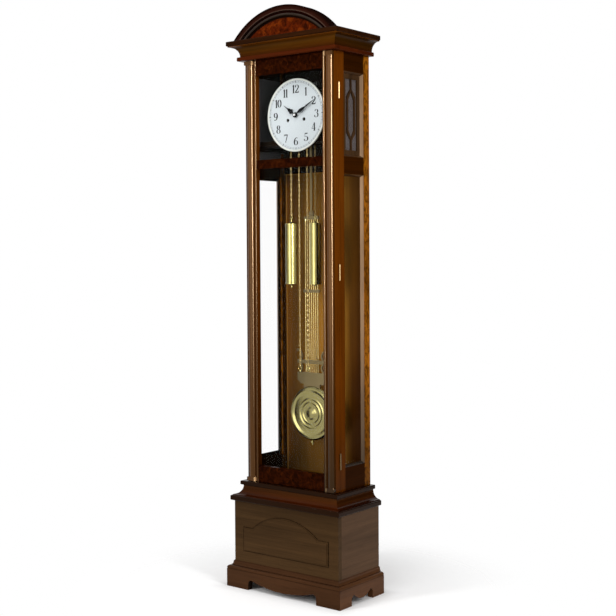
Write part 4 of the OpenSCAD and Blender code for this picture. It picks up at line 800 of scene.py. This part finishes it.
def add_minute_track(bm):
    """Two fine circles with a tick for each minute, longer and broader at every fifth."""
    y0, y1 = PRINT_Y
    for middle in (TRACK_R - MINUTE_TICK[0], TRACK_R + MINUTE_TICK[0]):
        inner, outer = middle - TRACK_LINE, middle + TRACK_LINE
        lathe(bm, [(inner, y0), (outer, y0), (outer, y1), (inner, y1), (inner, y0)], Vector((0, 0, DIAL_Z)))
    for minute in range(60):
        a = math.radians(6 * minute)
        reach, width = MINUTE_TICK if minute % 5 else FIVE_MINUTE_TICK
        ends = [(r * math.cos(a), DIAL_Z + r * math.sin(a)) for r in (TRACK_R - reach, TRACK_R + reach)]
        ribbon(bm, ends, [width, width], y0, y1)


def build_dial_figures(materials):
    """The hours 1 to 12 and the minute track, a hair proud of the enamel."""
    bm = bmesh.new()
    for hour in range(1, 13):
        add_numeral(bm, hour)
    figures = make_object("dial_hour_figures", bm, materials["ink"])
    bm = bmesh.new()
    add_minute_track(bm)
    track = make_object("dial_minute_track", bm, materials["ink"])
    for piece in (figures, track):
        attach(piece, "case")


# Chains


def add_chain_link(bm, matrix):
    """One oval link of round wire, standing along Z."""
    straight = (LINK_L - LINK_W) / 2
    rings = []
    for k, (x, z) in enumerate(on_circle(LINK_W / 2 - LINK_WIRE_R, LINK_STEPS)):
        middle = Vector((x, 0, z + (straight if k < LINK_STEPS / 2 else -straight)))
        out = Vector((x, 0, z)).normalized()
        rings.append([bm.verts.new(matrix @ (middle + out * u + Vector((0, w, 0))))
                      for u, w in on_circle(LINK_WIRE_R, WIRE_STEPS)])
    for k, ring in enumerate(rings):
        join_rings(bm, ring, rings[(k + 1) % LINK_STEPS])


def build_chain(name, node, materials):
    """A straight strand of links in place of the CAD strand."""
    low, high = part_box(node)
    x, y = (low.x + high.x) / 2, (low.y + high.y) / 2
    count = int((high.z - low.z - LINK_L) / (LINK_L - LINK_OVERLAP))
    pitch = (high.z - low.z - LINK_L) / count
    bm = bmesh.new()
    for k in range(count + 1):
        turn = Matrix.Rotation(math.radians(45 + 90 * (k % 2)), 4, "Z")
        add_chain_link(bm, Matrix.Translation((x, y, low.z + LINK_L / 2 + k * pitch)) @ turn)
    strand = make_object(name, bm, materials["brass_chain"], smooth=True)
    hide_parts(node)
    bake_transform(strand)


def build_chains(materials):
    """The loaded and the free strand of both chains."""
    for side in ("left", "right"):
        build_chain(side + "_weight_chain_links", side + "_weight_chain", materials)
        build_chain(side + "_free_chain_links", side + "_free_chain", materials)


# Stage


def build_camera():
    """The camera of the photo."""
    back = Vector((math.sin(YAW) * math.cos(PITCH), -math.cos(YAW) * math.cos(PITCH), math.sin(PITCH)))
    right = (-back).cross(Vector((0, 0, 1))).normalized()
    up = right.cross(-back)
    x_axis = math.cos(ROLL) * right + math.sin(ROLL) * up
    y_axis = -math.sin(ROLL) * right + math.cos(ROLL) * up
    turn = Matrix((x_axis, y_axis, back)).transposed().to_4x4()
    data = bpy.data.cameras.new("photo_camera")
    data.lens = LENS_MM
    data.sensor_width = SENSOR_MM
    data.shift_y = SHIFT_Y
    camera = bpy.data.objects.new("photo_camera", data)
    camera.matrix_world = Matrix.Translation(CAMERA_AT) @ turn
    bpy.context.scene.collection.objects.link(camera)
    bpy.context.scene.camera = camera


def seen_directly(s):
    """1 for camera, glossy and transmission rays, 0 for the rays that only light things."""
    path = s.add("LightPath").outputs
    reflected = s.math("MAXIMUM", path["Is Glossy Ray"], path["Is Transmission Ray"])
    return s.math("MAXIMUM", path["Is Camera Ray"], reflected)


def build_world():
    """White where it is seen, and dimmer where it only lights."""
    world = bpy.data.worlds.new("studio")
    bpy.context.scene.world = world
    s = Shader(world)
    dim = s.add("Background", {"Color": (1, 1, 1, 1), "Strength": AMBIENT})
    white = s.add("Background", {"Color": (1, 1, 1, 1), "Strength": 1.0})
    both = s.add("MixShader", {0: seen_directly(s), 1: dim.outputs[0], 2: white.outputs[0]})
    s.add("OutputWorld", {"Surface": both.outputs[0]})


def build_floor():
    """A pale disc that fades out into the white background. Its glow drops to nothing close to the clock,
    which paints a dark contact shadow there over the cast one.
    """
    bm = bmesh.new()
    centre = bm.verts.new((0, 0, 0))
    solid, end = ([bm.verts.new((x, y, 0)) for x, y in on_circle(radius, FLOOR_STEPS)]
                  for radius in (FLOOR_SOLID, FLOOR_END))
    for k in range(FLOOR_STEPS):
        bm.faces.new((centre, solid[k], solid[(k + 1) % FLOOR_STEPS]))
    join_rings(bm, end, solid)
    s = Shader(bpy.data.materials.new("studio_floor"))
    place = s.axes()
    fade = s.span(s.length(place[0], place[1]), FLOOR_SOLID, FLOOR_END, smooth=True)
    card = s.add("BsdfDiffuse", {"Color": (FLOOR_ALBEDO, FLOOR_ALBEDO, FLOOR_ALBEDO, 1)})
    # The glow rises from nothing near the clock's footprint, which paints a contact shadow there.
    beside = s.math("SUBTRACT", s.math("ABSOLUTE", place[0]), FOOT_HALF_W)
    before = s.math("SUBTRACT", s.math("ABSOLUTE", place[1]), FOOT_HALF_D)
    glow_outside_painted_shadow = s.span(s.math("MAXIMUM", beside, before), *FLOOR_PAINTED_SHADOW_REACH, to=(0.0, FLOOR_GLOW), smooth=True)
    glow = s.emission((1, 1, 1, 1), s.math("MULTIPLY", seen_directly(s), glow_outside_painted_shadow))
    lit = s.add("AddShader", {0: card.outputs[0], 1: glow})
    clear = s.add("BsdfTransparent")
    s.output(s.add("MixShader", {0: fade, 1: lit.outputs[0], 2: clear.outputs[0]}).outputs[0])
    make_object("studio_floor", bm, s.owner)


def build_lamp(name, at, target, size_x, size_y, power):
    """A white area lamp that looks at its target and isn't seen itself."""
    data = bpy.data.lights.new(name, "AREA")
    data.shape = "RECTANGLE"
    data.size = size_x
    data.size_y = size_y
    data.energy = power
    lamp = bpy.data.objects.new(name, data)
    lamp.location = at
    lamp.rotation_euler = (Vector(target) - Vector(at)).to_track_quat("-Z", "Y").to_euler()
    lamp.visible_camera = False
    bpy.context.scene.collection.objects.link(lamp)
    return lamp


def build_gloss_panel(number, azimuth, span, low, high, radiance):
    """A white panel seen only in reflections; azimuth is in degrees from the front towards +X."""
    a = math.radians(azimuth)
    width = 2 * GLOSS_RANGE * math.tan(math.radians(span / 2))
    mid = (low + high) / 2
    at = (GLOSS_RANGE * math.sin(a), -GLOSS_RANGE * math.cos(a), mid)
    lamp = build_lamp("gloss_panel_%d" % number, at, (0, 0, mid), width, high - low,
                      radiance * math.pi * width * (high - low))
    lamp.visible_diffuse = False


def build_curtain():
    """A dark curtain to the right and behind, with a warm glow at the height of the weights."""
    bm = bmesh.new()
    start, end = (math.radians(a) for a in CURTAIN_AZIMUTH)
    columns = []
    for k in range(CURTAIN_STEPS + 1):
        a = start + (end - start) * k / CURTAIN_STEPS
        x, y = CURTAIN_RANGE * math.sin(a), -CURTAIN_RANGE * math.cos(a)
        columns.append([bm.verts.new((x, y, z)) for z in (0.0, CURTAIN_TOP)])
    for a, b in zip(columns, columns[1:]):
        bm.faces.new((a[0], b[0], b[1], a[1]))
    s = Shader(bpy.data.materials.new("dark_curtain"))
    glow = s.height_ramp(list(zip(CURTAIN_GLOW_Z, (0.0, 1.0, 1.0, 0.0))))
    s.output(s.emission(s.tinted(glow, CURTAIN_GLOW)))
    stand_in_reflections(make_object("dark_curtain", bm, s.owner))


def build_card():
    """A white card between the weights, which keeps the bright strip out of the left weight."""
    bm = bmesh.new()
    (y0, y1), (z0, z1) = CARD_Y, CARD_Z
    bm.faces.new([bm.verts.new(p) for p in ((0, y0, z0), (0, y1, z0), (0, y1, z1), (0, y0, z1))])
    s = Shader(bpy.data.materials.new("white_card"))
    s.output(s.emission((1, 1, 1, 1)))
    stand_in_reflections(make_object("white_card", bm, s.owner))


def stand_in_reflections(obj):
    """Keep a piece of the studio out of everything but reflections."""
    obj.visible_camera = False
    obj.visible_diffuse = False
    obj.visible_transmission = False
    obj.visible_shadow = False


def build_lights():
    """Lamps that only light, and panels, curtain and card that only show in reflections."""
    for name, at, width, height, power in LAMPS:
        lamp = build_lamp(name, at, LAMP_TARGET, width, height, power)
        lamp.visible_glossy = False
    for number, panel in enumerate(GLOSS_PANELS):
        build_gloss_panel(number, *panel)
    build_curtain()
    build_card()


# Assembly


def main():
    """Dress the frame and build the photo's stage around it."""
    bpy.context.scene.view_settings.view_transform = "Standard"
    materials = make_materials()
    dress_nodes(materials)
    build_dial_figures(materials)
    build_chains(materials)
    build_camera()
    build_world()
    build_floor()
    build_lights()


main()
